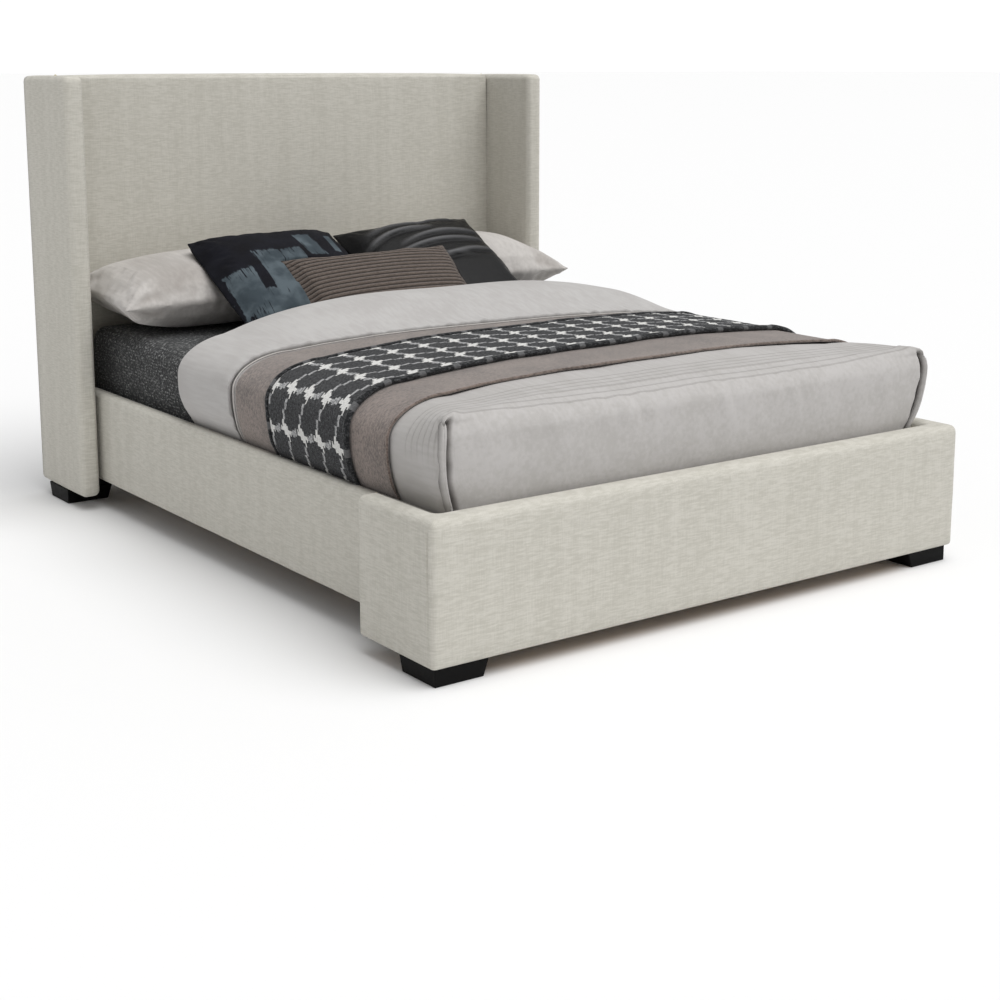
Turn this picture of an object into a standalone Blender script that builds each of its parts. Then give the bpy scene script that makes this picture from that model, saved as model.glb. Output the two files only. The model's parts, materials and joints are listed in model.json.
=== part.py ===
"""Upholstered queen bed with a winged headboard, dressed with its bedding.

Metres, +Z up. X runs across the bed, +Y points to the head end, and the origin is on the
floor at the middle of the bed's footprint.
"""
import math

import bmesh
import bpy
from mathutils import Matrix, Vector

# overall
LENGTH = 2.248
HEAD_WIDTH = 1.780
HEAD_HEIGHT = 1.332
FOOT_WIDTH = 1.750
FOOT_HEIGHT = 0.388
LEG_HEIGHT = 0.045
GAP = 0.0003

# upholstery
FABRIC = 0.0015
PAD_FOAM = 0.012
FOAM_SLACK = 0.001
HEAD_FOAM = 0.025
EDGE_RADIUS = 0.014
TRIM_REACH = 0.100
OVERRUN = 0.020

# headboard and its wings
WING_THICKNESS = 0.060
WING_DEPTH = 0.326
PANEL_DEPTH = 0.083
PANEL_BOTTOM = 0.090
PANEL_TO_WING = 0.001
CLOTH_MARGIN = 0.005
POST_SIZE = (0.090, 0.033)
POST_INSET = 0.060

# side rails and footboard
RAIL_OUTER = 0.815
RAIL_INNER = 0.7805
RAIL_BOTTOM = 0.086
RAIL_TOP = 0.366
FOOT_DEPTH = 0.070
RETURN_LENGTH = 0.314
RETURN_INNER = RAIL_OUTER + 0.0005

# feet
FOOT_TOP = 0.150
FOOT_BASE = 0.134
FOOT_INSET = 0.015
HEAD_FOOT_INSET = 0.005
HEAD_FOOT_SETBACK = 0.135
FOOT_EDGE = 0.0015

# slats and what carries them
SLAT_COUNT = 10
SLAT_SIZE = (1.556, 0.089, 0.018)
SLAT_TOP = 0.245
CLEAT_SIZE = (0.030, 0.040)
CLEAT_CLEARANCE = 0.010
FIRST_SLAT = 0.150
LAST_SLAT = 0.080
BEAM_SIZE = (0.040, 0.060)
CUP_WALL = 0.003
CUP_LENGTH = 0.040
CUP_LIP = 0.010
CENTRE_LEG_WIDTH = 0.045
CENTRE_LEG_BOTTOM = 0.020
CENTRE_LEG_PLACES = {"head": 0.330, "foot": -0.330}
GLIDE_RADIUS = 0.020
GLIDE_PAD = 0.008
GLIDE_STEM_RADIUS = 0.004
GLIDE_STEM_TOP = 0.045
GLIDE_BORE_RADIUS = 0.0055
GLIDE_BORE_TOP = 0.070
BRACKET_ARM = 0.060
BRACKET_HEIGHTS = (0.100, 0.180)
BRACKET_PLATE = 0.003

# mattress and bedding, from the inside out
MATTRESS = (1.510, 2.032, 0.300)
MATTRESS_FOOT = 0.0933
MATTRESS_RADIUS = 0.040
COVERLET = 0.003
DUVET_SIDE = 0.012
DUVET_TOP = 0.600
DUVET_FOLD_TOP = 0.642
DUVET_HEAD = 1.400
DUVET_FOLD_FOOT = 1.000
DUVET_RADIUS = 0.030
FOLD_OVERHANG = 0.001
BLANKET = 0.003
BLANKET_SPAN = (0.275, 0.990)
THROW = 0.005
THROW_SPAN = (0.450, 0.860)
HEM = 0.300
SOFT_STEPS = 3

# cushions: width, depth and thickness, then the middle, with Y counted from the footboard's front
SEAM_SHARE = 0.10
SIDE_PULL = 0.06
PILLOW_SIZE = (0.760, 0.500, 0.180)
PILLOW_PLACE = (0.415, 1.915, 0.661)
PILLOW_TILT = 18.0
SQUARE_SIZE = (0.470, 0.470, 0.110)
SQUARE_PLACE = (1.690, 0.715)
SQUARE_TILT = 36.0
NAVY_X = -0.290
CHARCOAL_X = 0.255
LUMBAR_SIZE = (0.600, 0.290, 0.080)
LUMBAR_PLACE = (-0.020, 1.530, 0.690)
LUMBAR_TILT = 44.0

FOOT_FRONT = -LENGTH / 2.0
HEAD_BACK = LENGTH / 2.0
WING_FRONT = HEAD_BACK - FABRIC - GAP - WING_DEPTH
PANEL_FRONT = HEAD_BACK - FABRIC - GAP - PANEL_DEPTH
WING_INNER = HEAD_WIDTH / 2.0 - WING_THICKNESS
PAD_BOTTOM = LEG_HEIGHT + GAP
SLAT_BOTTOM = SLAT_TOP - SLAT_SIZE[2]
X, Y, Z = 0, 1, 2


def clear_scene():
    for item in list(bpy.data.objects):
        bpy.data.objects.remove(item)


def new_collection(name):
    group = bpy.data.collections.new(name)
    bpy.context.scene.collection.children.link(group)
    return group


clear_scene()
PARTS = new_collection("upholstered_bed")
CUTTERS = new_collection("cutters")


def material(name, colour, roughness, metallic=0.0):
    paint = bpy.data.materials.new(name)
    paint.use_nodes = True
    shader = paint.node_tree.nodes["Principled BSDF"]
    shader.inputs["Base Color"].default_value = (*colour, 1.0)
    shader.inputs["Roughness"].default_value = roughness
    shader.inputs["Metallic"].default_value = metallic
    paint.diffuse_color = (*colour, 1.0)
    return paint


UPHOLSTERY = material("linen_upholstery", (0.60, 0.58, 0.53), 0.90)
FOAM = material("upholstery_foam", (0.80, 0.74, 0.52), 0.95)
BOARD = material("plywood_board", (0.55, 0.38, 0.21), 0.65)
PINE = material("pine_timber", (0.66, 0.47, 0.27), 0.60)
BLACK_WOOD = material("black_wood", (0.012, 0.011, 0.011), 0.35)
DUST_CLOTH = material("dust_cloth", (0.02, 0.02, 0.022), 0.95)
STEEL = material("zinc_steel", (0.45, 0.45, 0.46), 0.40, 1.0)
GLIDE = material("black_plastic", (0.02, 0.02, 0.02), 0.50)
TICKING = material("mattress_ticking", (0.80, 0.79, 0.76), 0.85)
CHARCOAL_KNIT = material("charcoal_knit", (0.055, 0.058, 0.062), 0.95)
DUVET_COTTON = material("duvet_cotton", (0.60, 0.57, 0.56), 0.80)
TAUPE_FELT = material("taupe_felt", (0.27, 0.22, 0.20), 0.95)
THROW_WOOL = material("throw_wool", (0.10, 0.10, 0.10), 0.95)
PILLOW_COTTON = material("pillow_cotton", (0.66, 0.64, 0.63), 0.80)
NAVY_PRINT = material("navy_print", (0.018, 0.024, 0.035), 0.70)
CHARCOAL_SATIN = material("charcoal_satin", (0.022, 0.023, 0.025), 0.35)
RIBBED_TAUPE = material("ribbed_taupe", (0.19, 0.155, 0.14), 0.85)


def empty(name, location, parent=None):
    """An invisible handle that a group of pieces moves with."""
    handle = bpy.data.objects.new(name, None)
    handle.location = location
    handle.parent = parent
    handle.empty_display_size = 0.1
    PARTS.objects.link(handle)
    return handle


def attach(piece, parent):
    """Parent a piece that is placed in world coordinates to a handle."""
    piece.parent = parent
    piece.matrix_parent_inverse = Matrix.Translation(-Vector(world_place(parent)))
    return piece


def world_place(handle):
    place = Vector(handle.location)
    while handle.parent:
        handle = handle.parent
        place += Vector(handle.location)
    return place


BED = empty("bed", (0.0, 0.0, 0.0))
MATTRESS_LIFT = empty("mattress_lift", (0.0, 0.0, SLAT_TOP), BED)
PILLOWS_LIFT = empty("pillows_lift", (0.0, 0.80, 0.31), MATTRESS_LIFT)
SQUARES_LIFT = empty("square_cushions_lift", (0.0, -0.20, 0.03), PILLOWS_LIFT)
LUMBAR_LIFT = empty("lumbar_cushion_lift", (0.0, -0.18, 0.0), SQUARES_LIFT)


def add_mesh(name, mesh, location, paint=None, parent=BED):
    """A named piece with its material, or a hidden cutter when it has none."""
    piece = bpy.data.objects.new(name, mesh)
    piece.location = location
    if paint is None:
        CUTTERS.objects.link(piece)
        piece.hide_render = True
        piece.display_type = "WIRE"
        return piece
    mesh.materials.append(paint)
    PARTS.objects.link(piece)
    return attach(piece, parent)


def box(name, low, high, paint=None, parent=BED):
    low = Vector(low)
    high = Vector(high)
    size = high - low
    shape = bmesh.new()
    bmesh.ops.create_cube(shape, size=1.0, matrix=Matrix.Diagonal((*size, 1.0)))
    mesh = bpy.data.meshes.new(name)
    shape.to_mesh(mesh)
    shape.free()
    return add_mesh(name, mesh, (low + high) / 2.0, paint, parent)


def rounded(piece, radius, segments=2):
    bevel = piece.modifiers.new("rounding", "BEVEL")
    bevel.width = radius
    bevel.segments = segments
    bevel.limit_method = "ANGLE"
    return piece


def combine(piece, tool, operation="DIFFERENCE"):
    join = piece.modifiers.new(operation.lower(), "BOOLEAN")
    join.operation = operation
    join.solver = "EXACT"
    join.object = tool
    return piece


def shrink(low, high, amount, open_axis, open_sign, open_move=0.0):
    """The box inset on each side, apart from its open face, which moves out by open_move."""
    inner_low = [value + amount for value in low]
    inner_high = [value - amount for value in high]
    if open_sign > 0:
        inner_high[open_axis] = high[open_axis] + open_move
    else:
        inner_low[open_axis] = low[open_axis] - open_move
    return inner_low, inner_high


def padded_panel(name, low, high, axis, sign, foam, board_depth=None):
    """A board with foam round it and fabric over the foam, open on the stapled side."""
    # the layers run past the open face, beyond its rounding, and are trimmed flat there
    far_low, far_high = shrink(low, high, 0.0, axis, sign, 2.0 * EDGE_RADIUS)
    trim_low = [value - TRIM_REACH for value in low]
    trim_high = [value + TRIM_REACH for value in high]
    if sign > 0:
        trim_low[axis] = high[axis]
    else:
        trim_high[axis] = low[axis]
    trim = box(name + "_trim", trim_low, trim_high)

    cover = rounded(box(name + "_cover", far_low, far_high, UPHOLSTERY), EDGE_RADIUS)
    hollow = shrink(far_low, far_high, FABRIC, axis, sign, OVERRUN)
    combine(cover, rounded(box(name + "_cover_hollow", *hollow), EDGE_RADIUS - FABRIC))
    combine(cover, trim)

    inset = FABRIC + FOAM_SLACK
    pad_low, pad_high = shrink(far_low, far_high, inset, axis, sign)
    pad = rounded(box(name + "_foam", pad_low, pad_high, FOAM), EDGE_RADIUS)
    cavity = shrink(pad_low, pad_high, foam, axis, sign, OVERRUN)
    combine(pad, box(name + "_foam_hollow", *cavity))
    combine(pad, trim)

    core_low, core_high = shrink(low, high, inset + foam + GAP, axis, sign)
    if board_depth is not None:
        core_high[axis] = core_low[axis] + board_depth
    box(name + "_board", core_low, core_high, BOARD)
    return core_low, core_high


def make_headboard():
    low = (-WING_INNER + PANEL_TO_WING, PANEL_FRONT, PANEL_BOTTOM)
    high = (WING_INNER - PANEL_TO_WING, PANEL_FRONT + PANEL_DEPTH, HEAD_HEIGHT)
    board_depth = PANEL_DEPTH - FABRIC - FOAM_SLACK - HEAD_FOAM - POST_SIZE[1] - 4 * GAP
    core_low, core_high = padded_panel("headboard", low, high, Y, 1, HEAD_FOAM, board_depth)
    for side, sign in (("left", -1), ("right", 1)):
        outer = core_high[X] - POST_INSET
        edges = sorted((sign * outer, sign * (outer - POST_SIZE[0])))
        post_low = (edges[0], core_high[Y] + GAP, core_low[Z])
        post_high = (edges[1], core_high[Y] + GAP + POST_SIZE[1], core_high[Z])
        box(f"headboard_post_{side}", post_low, post_high, PINE)
    cloth_half = HEAD_WIDTH / 2.0 - CLOTH_MARGIN
    box("headboard_back_cloth", (-cloth_half, HEAD_BACK - FABRIC, PAD_BOTTOM + CLOTH_MARGIN),
        (cloth_half, HEAD_BACK, HEAD_HEIGHT - CLOTH_MARGIN), DUST_CLOTH)


def make_wing(side, sign):
    edges = sorted((sign * WING_INNER, sign * HEAD_WIDTH / 2.0))
    low = (edges[0], WING_FRONT, PAD_BOTTOM)
    high = (edges[1], WING_FRONT + WING_DEPTH, HEAD_HEIGHT)
    padded_panel(f"wing_{side}", low, high, Y, 1, PAD_FOAM)


def make_side_rail(side, sign):
    edges = sorted((sign * RAIL_INNER, sign * RAIL_OUTER))
    low = (edges[0], FOOT_FRONT + FOOT_DEPTH + GAP, RAIL_BOTTOM)
    high = (edges[1], PANEL_FRONT - GAP, RAIL_TOP)
    padded_panel(f"side_rail_{side}", low, high, X, -sign, PAD_FOAM)
    cleat = sorted((sign * (RAIL_INNER - GAP), sign * (RAIL_INNER - GAP - CLEAT_SIZE[0])))
    margin = BRACKET_ARM + CLEAT_CLEARANCE
    box(f"slat_cleat_{side}", (cleat[0], low[Y] + margin, SLAT_BOTTOM - GAP - CLEAT_SIZE[1]),
        (cleat[1], high[Y] - margin, SLAT_BOTTOM - GAP), PINE)


def arc(centre, radius, start, end, steps):
    """Points of a circular arc, by angle in degrees."""
    points = []
    for step in range(steps + 1):
        angle = math.radians(start + (end - start) * step / steps)
        points.append((centre[0] + radius * math.cos(angle), centre[1] + radius * math.sin(angle)))
    return points


def prism(name, outline, low, high, paint=None, parent=BED, across=False):
    """A flat outline given a thickness along Z, or along Y when it stands across the bed."""
    curve = bpy.data.curves.new(name, "CURVE")
    curve.dimensions = "2D"
    curve.fill_mode = "BOTH"
    curve.extrude = (high - low) / 2.0
    spline = curve.splines.new("POLY")
    spline.points.add(len(outline) - 1)
    for point, (a, b) in zip(spline.points, outline):
        point.co = (a, b, 0.0, 1.0)
    spline.use_cyclic_u = True
    guide = bpy.data.objects.new(name + "_guide", curve)
    bpy.context.scene.collection.objects.link(guide)
    evaluated = guide.evaluated_get(bpy.context.evaluated_depsgraph_get())
    mesh = bpy.data.meshes.new_from_object(evaluated)
    bpy.data.objects.remove(guide)
    bpy.data.curves.remove(curve)
    shape = bmesh.new()
    shape.from_mesh(mesh)
    bmesh.ops.remove_doubles(shape, verts=shape.verts[:], dist=0.00005)
    bmesh.ops.dissolve_limit(shape, angle_limit=0.01, verts=shape.verts[:], edges=shape.edges[:])
    if across:
        shape.transform(Matrix.Rotation(math.pi / 2.0, 4, "X"))
    shape.normal_update()
    bmesh.ops.recalc_face_normals(shape, faces=shape.faces[:])
    shape.to_mesh(mesh)
    shape.free()
    mesh.name = name
    middle = (low + high) / 2.0
    place = (0.0, middle, 0.0) if across else (0.0, 0.0, middle)
    return add_mesh(name, mesh, place, paint, parent)


def footboard_outline(inset):
    """The footboard's plan: a front with a short return along each side rail."""
    outer = FOOT_WIDTH / 2.0 - inset
    inner = RETURN_INNER + inset
    front = FOOT_FRONT + inset
    back = FOOT_FRONT + FOOT_DEPTH - inset
    end = FOOT_FRONT + RETURN_LENGTH - inset
    right = [(outer, front), (outer, end), (inner, end), (inner, back)]
    left = [(-x, y) for x, y in reversed(right)]
    return right + left


def make_footboard():
    inset = FABRIC + FOAM_SLACK
    core = inset + PAD_FOAM
    below = PAD_BOTTOM - OVERRUN
    trim_low = (-HEAD_WIDTH, FOOT_FRONT - TRIM_REACH, below - TRIM_REACH)
    trim = box("footboard_trim", trim_low, (HEAD_WIDTH, 0.0, PAD_BOTTOM))
    cover = prism("footboard_cover", footboard_outline(0.0), below, FOOT_HEIGHT, UPHOLSTERY)
    hollow = prism("footboard_cover_hollow", footboard_outline(FABRIC), below - OVERRUN,
                   FOOT_HEIGHT - FABRIC)
    combine(rounded(cover, EDGE_RADIUS), rounded(hollow, EDGE_RADIUS - FABRIC))
    combine(cover, trim)
    pad = prism("footboard_foam", footboard_outline(inset), below, FOOT_HEIGHT - inset, FOAM)
    cavity = prism("footboard_foam_hollow", footboard_outline(core), below - OVERRUN,
                   FOOT_HEIGHT - core)
    combine(rounded(pad, EDGE_RADIUS - inset), cavity)
    combine(pad, trim)

    board = core + GAP
    half = FOOT_WIDTH / 2.0 - board
    top = FOOT_HEIGHT - board
    back = FOOT_FRONT + FOOT_DEPTH - board
    box("footboard_board", (-half, FOOT_FRONT + board, PAD_BOTTOM), (half, back, top), BOARD)
    for side, sign in (("left", -1), ("right", 1)):
        edges = sorted((sign * half, sign * (RETURN_INNER + board)))
        box(f"footboard_return_board_{side}", (edges[0], back + GAP, PAD_BOTTOM),
            (edges[1], FOOT_FRONT + RETURN_LENGTH - board, top), BOARD)


def make_foot(name, x_sign, outer_x, front_y):
    """A tapered block: upright on its outer side and its front, leaning in on the other two."""
    shape = bmesh.new()
    bmesh.ops.create_cube(shape, size=1.0)
    for vert in shape.verts:
        size = FOOT_TOP if vert.co.z > 0 else FOOT_BASE
        x = 0.0 if vert.co.x > 0 else size
        y = 0.0 if vert.co.y > 0 else size
        vert.co = (-x_sign * x, y, (vert.co.z + 0.5) * LEG_HEIGHT)
    shape.normal_update()
    bmesh.ops.recalc_face_normals(shape, faces=shape.faces[:])
    mesh = bpy.data.meshes.new(name)
    shape.to_mesh(mesh)
    shape.free()
    rounded(add_mesh(name, mesh, (x_sign * outer_x, front_y, 0.0), BLACK_WOOD), FOOT_EDGE, 1)


def make_feet():
    front_x = FOOT_WIDTH / 2.0 - FOOT_INSET
    head_x = HEAD_WIDTH / 2.0 - HEAD_FOOT_INSET
    for side, sign in (("left", -1), ("right", 1)):
        make_foot(f"foot_front_{side}", sign, front_x, FOOT_FRONT + FOOT_INSET)
        make_foot(f"foot_head_{side}", sign, head_x, WING_FRONT + HEAD_FOOT_SETBACK)


def make_slats():
    first = FOOT_FRONT + FIRST_SLAT
    last = PANEL_FRONT - LAST_SLAT
    pitch = (last - first) / (SLAT_COUNT - 1)
    for number in range(SLAT_COUNT):
        middle = first + pitch * number
        box(f"slat_{number + 1:02d}", (-SLAT_SIZE[0] / 2.0, middle - SLAT_SIZE[1] / 2.0, SLAT_BOTTOM),
            (SLAT_SIZE[0] / 2.0, middle + SLAT_SIZE[1] / 2.0, SLAT_TOP), PINE)


def make_beam():
    half = BEAM_SIZE[0] / 2.0
    top = SLAT_BOTTOM - GAP
    low = (-half, FOOT_FRONT + FOOT_DEPTH + CUP_WALL + 2 * GAP, top - BEAM_SIZE[1])
    high = (half, PANEL_FRONT - CUP_WALL - 2 * GAP, top)
    box("centre_beam", low, high, PINE)
    wall = GAP + CUP_WALL
    for end in ("foot", "head"):
        y_low = FOOT_FRONT + FOOT_DEPTH + GAP if end == "foot" else PANEL_FRONT - GAP - CUP_LENGTH
        cup = box(f"beam_cup_{end}", (-half - wall, y_low, low[Z] - wall),
                  (half + wall, y_low + CUP_LENGTH, top - CUP_LIP), STEEL)
        pocket_low = (-half - GAP, low[Y] - GAP, low[Z] - GAP)
        pocket_high = (half + GAP, high[Y] + GAP, top + OVERRUN)
        combine(cup, box(f"beam_pocket_{end}", pocket_low, pocket_high))
    return low[Z]


def cylinder(name, radius, low, high, place, paint=None, parent=BED, sides=24):
    shape = bmesh.new()
    bmesh.ops.create_cone(shape, cap_ends=True, segments=sides, radius1=radius, radius2=radius,
                          depth=high - low)
    mesh = bpy.data.meshes.new(name)
    shape.to_mesh(mesh)
    shape.free()
    mesh.shade_smooth()
    mesh.set_sharp_from_angle(angle=math.radians(40.0))
    return add_mesh(name, mesh, (*place, (low + high) / 2.0), paint, parent)


def make_centre_leg(end, y, beam_bottom):
    half = CENTRE_LEG_WIDTH / 2.0
    leg = box(f"centre_leg_{end}", (-half, y - half, CENTRE_LEG_BOTTOM),
              (half, y + half, beam_bottom - GAP), PINE)
    bore_low = CENTRE_LEG_BOTTOM - OVERRUN
    combine(leg, cylinder(f"glide_bore_{end}", GLIDE_BORE_RADIUS, bore_low, GLIDE_BORE_TOP, (0.0, y)))
    handle = empty(f"glide_{end}_screw", (0.0, y, 0.0), BED)
    glide = cylinder(f"levelling_glide_{end}", GLIDE_RADIUS, 0.0, GLIDE_PAD, (0.0, y), GLIDE, handle)
    stem = cylinder(f"glide_stem_{end}", GLIDE_STEM_RADIUS, GLIDE_PAD / 2.0, GLIDE_STEM_TOP, (0.0, y))
    combine(glide, stem, "UNION")


def make_corner_brackets():
    """Steel angles that tie each side rail to the headboard and the footboard."""
    face = RAIL_INNER - GAP
    for end, y, direction in (("foot", FOOT_FRONT + FOOT_DEPTH + GAP, 1), ("head", PANEL_FRONT - GAP, -1)):
        for side, sign in (("left", -1), ("right", 1)):
            outline = [(face, y), (face, y + direction * BRACKET_ARM),
                       (face - BRACKET_PLATE, y + direction * BRACKET_ARM),
                       (face - BRACKET_PLATE, y + direction * BRACKET_PLATE),
                       (face - BRACKET_ARM, y + direction * BRACKET_PLATE),
                       (face - BRACKET_ARM, y)]
            outline = [(sign * x, along) for x, along in outline]
            prism(f"corner_bracket_{end}_{side}", outline, *BRACKET_HEIGHTS, STEEL)


def layer_box(thickness_side, top, bottom=HEM - TRIM_REACH):
    """A box round the mattress, grown by a thickness at its sides and ends."""
    half = MATTRESS[0] / 2.0 + thickness_side
    foot = FOOT_FRONT + MATTRESS_FOOT - thickness_side
    head = FOOT_FRONT + MATTRESS_FOOT + MATTRESS[1] + thickness_side
    return [-half, foot, bottom], [half, head, top]


def make_mattress_and_coverlet():
    low, high = layer_box(0.0, SLAT_TOP + GAP + MATTRESS[2], SLAT_TOP + GAP)
    rounded(box("mattress", low, high, TICKING, MATTRESS_LIFT), MATTRESS_RADIUS, SOFT_STEPS)
    trim = box("hem_trim", (-HEAD_WIDTH, FOOT_FRONT, 0.0), (HEAD_WIDTH, HEAD_BACK, HEM))
    top = high[Z] + GAP + COVERLET
    outer = layer_box(GAP + COVERLET, top)
    inner = layer_box(GAP, top - COVERLET, HEM - 2.0 * TRIM_REACH)
    coverlet = box("coverlet", *outer, CHARCOAL_KNIT, MATTRESS_LIFT)
    rounded(coverlet, MATTRESS_RADIUS + GAP + COVERLET, SOFT_STEPS)
    combine(coverlet, rounded(box("coverlet_hollow", *inner), MATTRESS_RADIUS + GAP, SOFT_STEPS))
    combine(coverlet, trim)
    return trim, top


def make_duvet(trim, coverlet_top):
    """The duvet covers the foot end and sides, with its head end folded back double."""
    inside = 2 * GAP + COVERLET
    outside = inside + DUVET_SIDE
    low, high = layer_box(outside, DUVET_TOP)
    high[Y] = FOOT_FRONT + DUVET_HEAD + TRIM_REACH
    duvet = rounded(box("duvet", low, high, DUVET_COTTON, MATTRESS_LIFT), DUVET_RADIUS, SOFT_STEPS)
    fold_low = (low[X] - FOLD_OVERHANG, FOOT_FRONT + DUVET_FOLD_FOOT, HEM - TRIM_REACH / 2.0)
    fold_high = (high[X] + FOLD_OVERHANG, high[Y], DUVET_FOLD_TOP)
    fold = rounded(box("duvet_fold", fold_low, fold_high), DUVET_RADIUS, SOFT_STEPS)
    combine(duvet, fold, "UNION")
    hollow_low, hollow_high = layer_box(inside, coverlet_top + GAP, HEM - 2.0 * TRIM_REACH)
    hollow = rounded(box("duvet_hollow", hollow_low, hollow_high), MATTRESS_RADIUS + inside, SOFT_STEPS)
    combine(duvet, hollow)
    combine(duvet, trim)
    head_low = (-HEAD_WIDTH, FOOT_FRONT + DUVET_HEAD, 0.0)
    combine(duvet, box("duvet_head_trim", head_low, (HEAD_WIDTH, HEAD_BACK, HEAD_HEIGHT)))
    return outside


def arch(half, top, radius, thickness):
    """The section of a cloth laid over the bed: up one side, across the top and down."""
    inner_half = half - thickness
    inner_radius = radius - thickness
    outer = [(half, HEM)] + arc((half - radius, top - radius), radius, 0.0, 90.0, SOFT_STEPS)
    inner = [(inner_half, HEM)]
    inner += arc((half - radius, top - radius), inner_radius, 0.0, 90.0, SOFT_STEPS)
    outline = outer + [(-x, z) for x, z in reversed(outer)]
    lining = inner + [(-x, z) for x, z in reversed(inner)]
    return outline + list(reversed(lining))


def make_cross_layers(duvet_side):
    """The taupe blanket lies over the duvet, and the knitted throw over the blanket."""
    half = MATTRESS[0] / 2.0 + duvet_side
    top = DUVET_TOP
    radius = DUVET_RADIUS
    layers = (
        ("taupe_blanket", BLANKET, BLANKET_SPAN, TAUPE_FELT),
        ("throw", THROW, THROW_SPAN, THROW_WOOL),
    )
    for name, thickness, span, paint in layers:
        half += GAP + thickness
        top += GAP + thickness
        radius += GAP + thickness
        section = arch(half, top, radius, thickness)
        foot, head = FOOT_FRONT + span[0], FOOT_FRONT + span[1]
        prism(name, section, foot, head, paint, MATTRESS_LIFT, across=True)


def cushion(name, size, place, tilt, paint, parent):
    """A closed pillow form: crowned in the middle, thin at its seam, sides pulled in."""
    width, depth, thickness = size
    shape = bmesh.new()
    bmesh.ops.create_cube(shape, size=2.0)
    bmesh.ops.subdivide_edges(shape, edges=shape.edges[:], cuts=3, use_grid_fill=True)
    for vert in shape.verts:
        u, v, w = vert.co
        crown = SEAM_SHARE + (1.0 - SEAM_SHARE) * math.sqrt((1.0 - u ** 4) * (1.0 - v ** 4))
        x = u * (1.0 - SIDE_PULL * (1.0 - v * v)) * width / 2.0
        y = v * (1.0 - SIDE_PULL * (1.0 - u * u)) * depth / 2.0
        vert.co = (x, y, w * crown * thickness / 2.0)
    mesh = bpy.data.meshes.new(name)
    shape.to_mesh(mesh)
    shape.free()
    mesh.shade_smooth()
    piece = add_mesh(name, mesh, (place[0], FOOT_FRONT + place[1], place[2]), paint, parent)
    piece.rotation_euler = (math.radians(tilt), 0.0, 0.0)
    soft = piece.modifiers.new("softness", "SUBSURF")
    soft.levels = 1
    soft.render_levels = 1


def make_cushions():
    """Two pillows on the mattress, two square cushions on them and a lumbar cushion in front."""
    for side, sign in (("left", -1), ("right", 1)):
        place = (sign * PILLOW_PLACE[0], *PILLOW_PLACE[1:])
        cushion(f"pillow_{side}", PILLOW_SIZE, place, PILLOW_TILT, PILLOW_COTTON, PILLOWS_LIFT)
    squares = (("navy_cushion", NAVY_X, NAVY_PRINT), ("charcoal_cushion", CHARCOAL_X, CHARCOAL_SATIN))
    for name, x, paint in squares:
        cushion(name, SQUARE_SIZE, (x, *SQUARE_PLACE), SQUARE_TILT, paint, SQUARES_LIFT)
    cushion("lumbar_cushion", LUMBAR_SIZE, LUMBAR_PLACE, LUMBAR_TILT, RIBBED_TAUPE, LUMBAR_LIFT)


def make_bed():
    make_headboard()
    for side, sign in (("left", -1), ("right", 1)):
        make_wing(side, sign)
        make_side_rail(side, sign)
    make_footboard()
    make_feet()
    make_slats()
    beam_bottom = make_beam()
    for end, y in CENTRE_LEG_PLACES.items():
        make_centre_leg(end, y, beam_bottom)
    make_corner_brackets()
    trim, coverlet_top = make_mattress_and_coverlet()
    duvet_side = make_duvet(trim, coverlet_top)
    make_cross_layers(duvet_side)
    make_cushions()


make_bed()
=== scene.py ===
"""The finished look of the upholstered bed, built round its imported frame."""
import math

import json

import bmesh
import bpy
import numpy as np
from mathutils import Matrix, Vector, noise
from mathutils.bvhtree import BVHTree


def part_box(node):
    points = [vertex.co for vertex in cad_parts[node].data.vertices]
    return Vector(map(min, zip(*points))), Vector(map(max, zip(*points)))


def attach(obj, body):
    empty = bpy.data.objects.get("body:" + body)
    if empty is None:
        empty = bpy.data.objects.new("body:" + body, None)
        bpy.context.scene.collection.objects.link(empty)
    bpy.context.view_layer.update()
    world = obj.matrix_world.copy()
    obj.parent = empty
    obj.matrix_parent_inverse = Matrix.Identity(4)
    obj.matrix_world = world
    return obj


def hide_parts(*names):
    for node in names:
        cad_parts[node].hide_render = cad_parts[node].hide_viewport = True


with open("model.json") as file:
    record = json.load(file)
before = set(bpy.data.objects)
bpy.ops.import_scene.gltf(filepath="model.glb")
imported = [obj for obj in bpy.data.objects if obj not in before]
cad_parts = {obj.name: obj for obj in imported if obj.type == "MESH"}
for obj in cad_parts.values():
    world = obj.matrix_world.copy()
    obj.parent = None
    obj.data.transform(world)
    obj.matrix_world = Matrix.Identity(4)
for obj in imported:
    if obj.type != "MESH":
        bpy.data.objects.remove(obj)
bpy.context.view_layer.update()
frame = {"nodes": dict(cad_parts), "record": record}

# the camera: a long lens at standing height, off the near corner of the footboard
CAMERA_FROM_FOOT = (-2.874, -2.997, 1.364)
CAMERA_YAW = 36.06
CAMERA_PITCH = 10.58
CAMERA_LENS = 61.6
CAMERA_SHIFT = -0.115

# light: an even surround, and a wide key from above and in front
SURROUND_LIGHT = 0.46
KEY_LIGHT = 2.45
KEY_SPREAD = 60.0
KEY_FROM = (0.18, -0.36, 0.90)

# upholstery
FABRIC = 0.0015
GRID = 0.030
PAD_RADIUS = 0.018
PANEL_RADIUS = 0.011
CORNER_STEPS = 5
# grid lines nearer to each other than this leave slivers that tear when thickened
CLOSEST = 0.0012
# the padding: how far under the cloth, and how far its rims are pulled in from an open face
UNDER_CLOTH = 0.0006
RIM_REACH = 0.003
RIM_SETBACK = 0.006
CLOTH_FRAMES = 20

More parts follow.
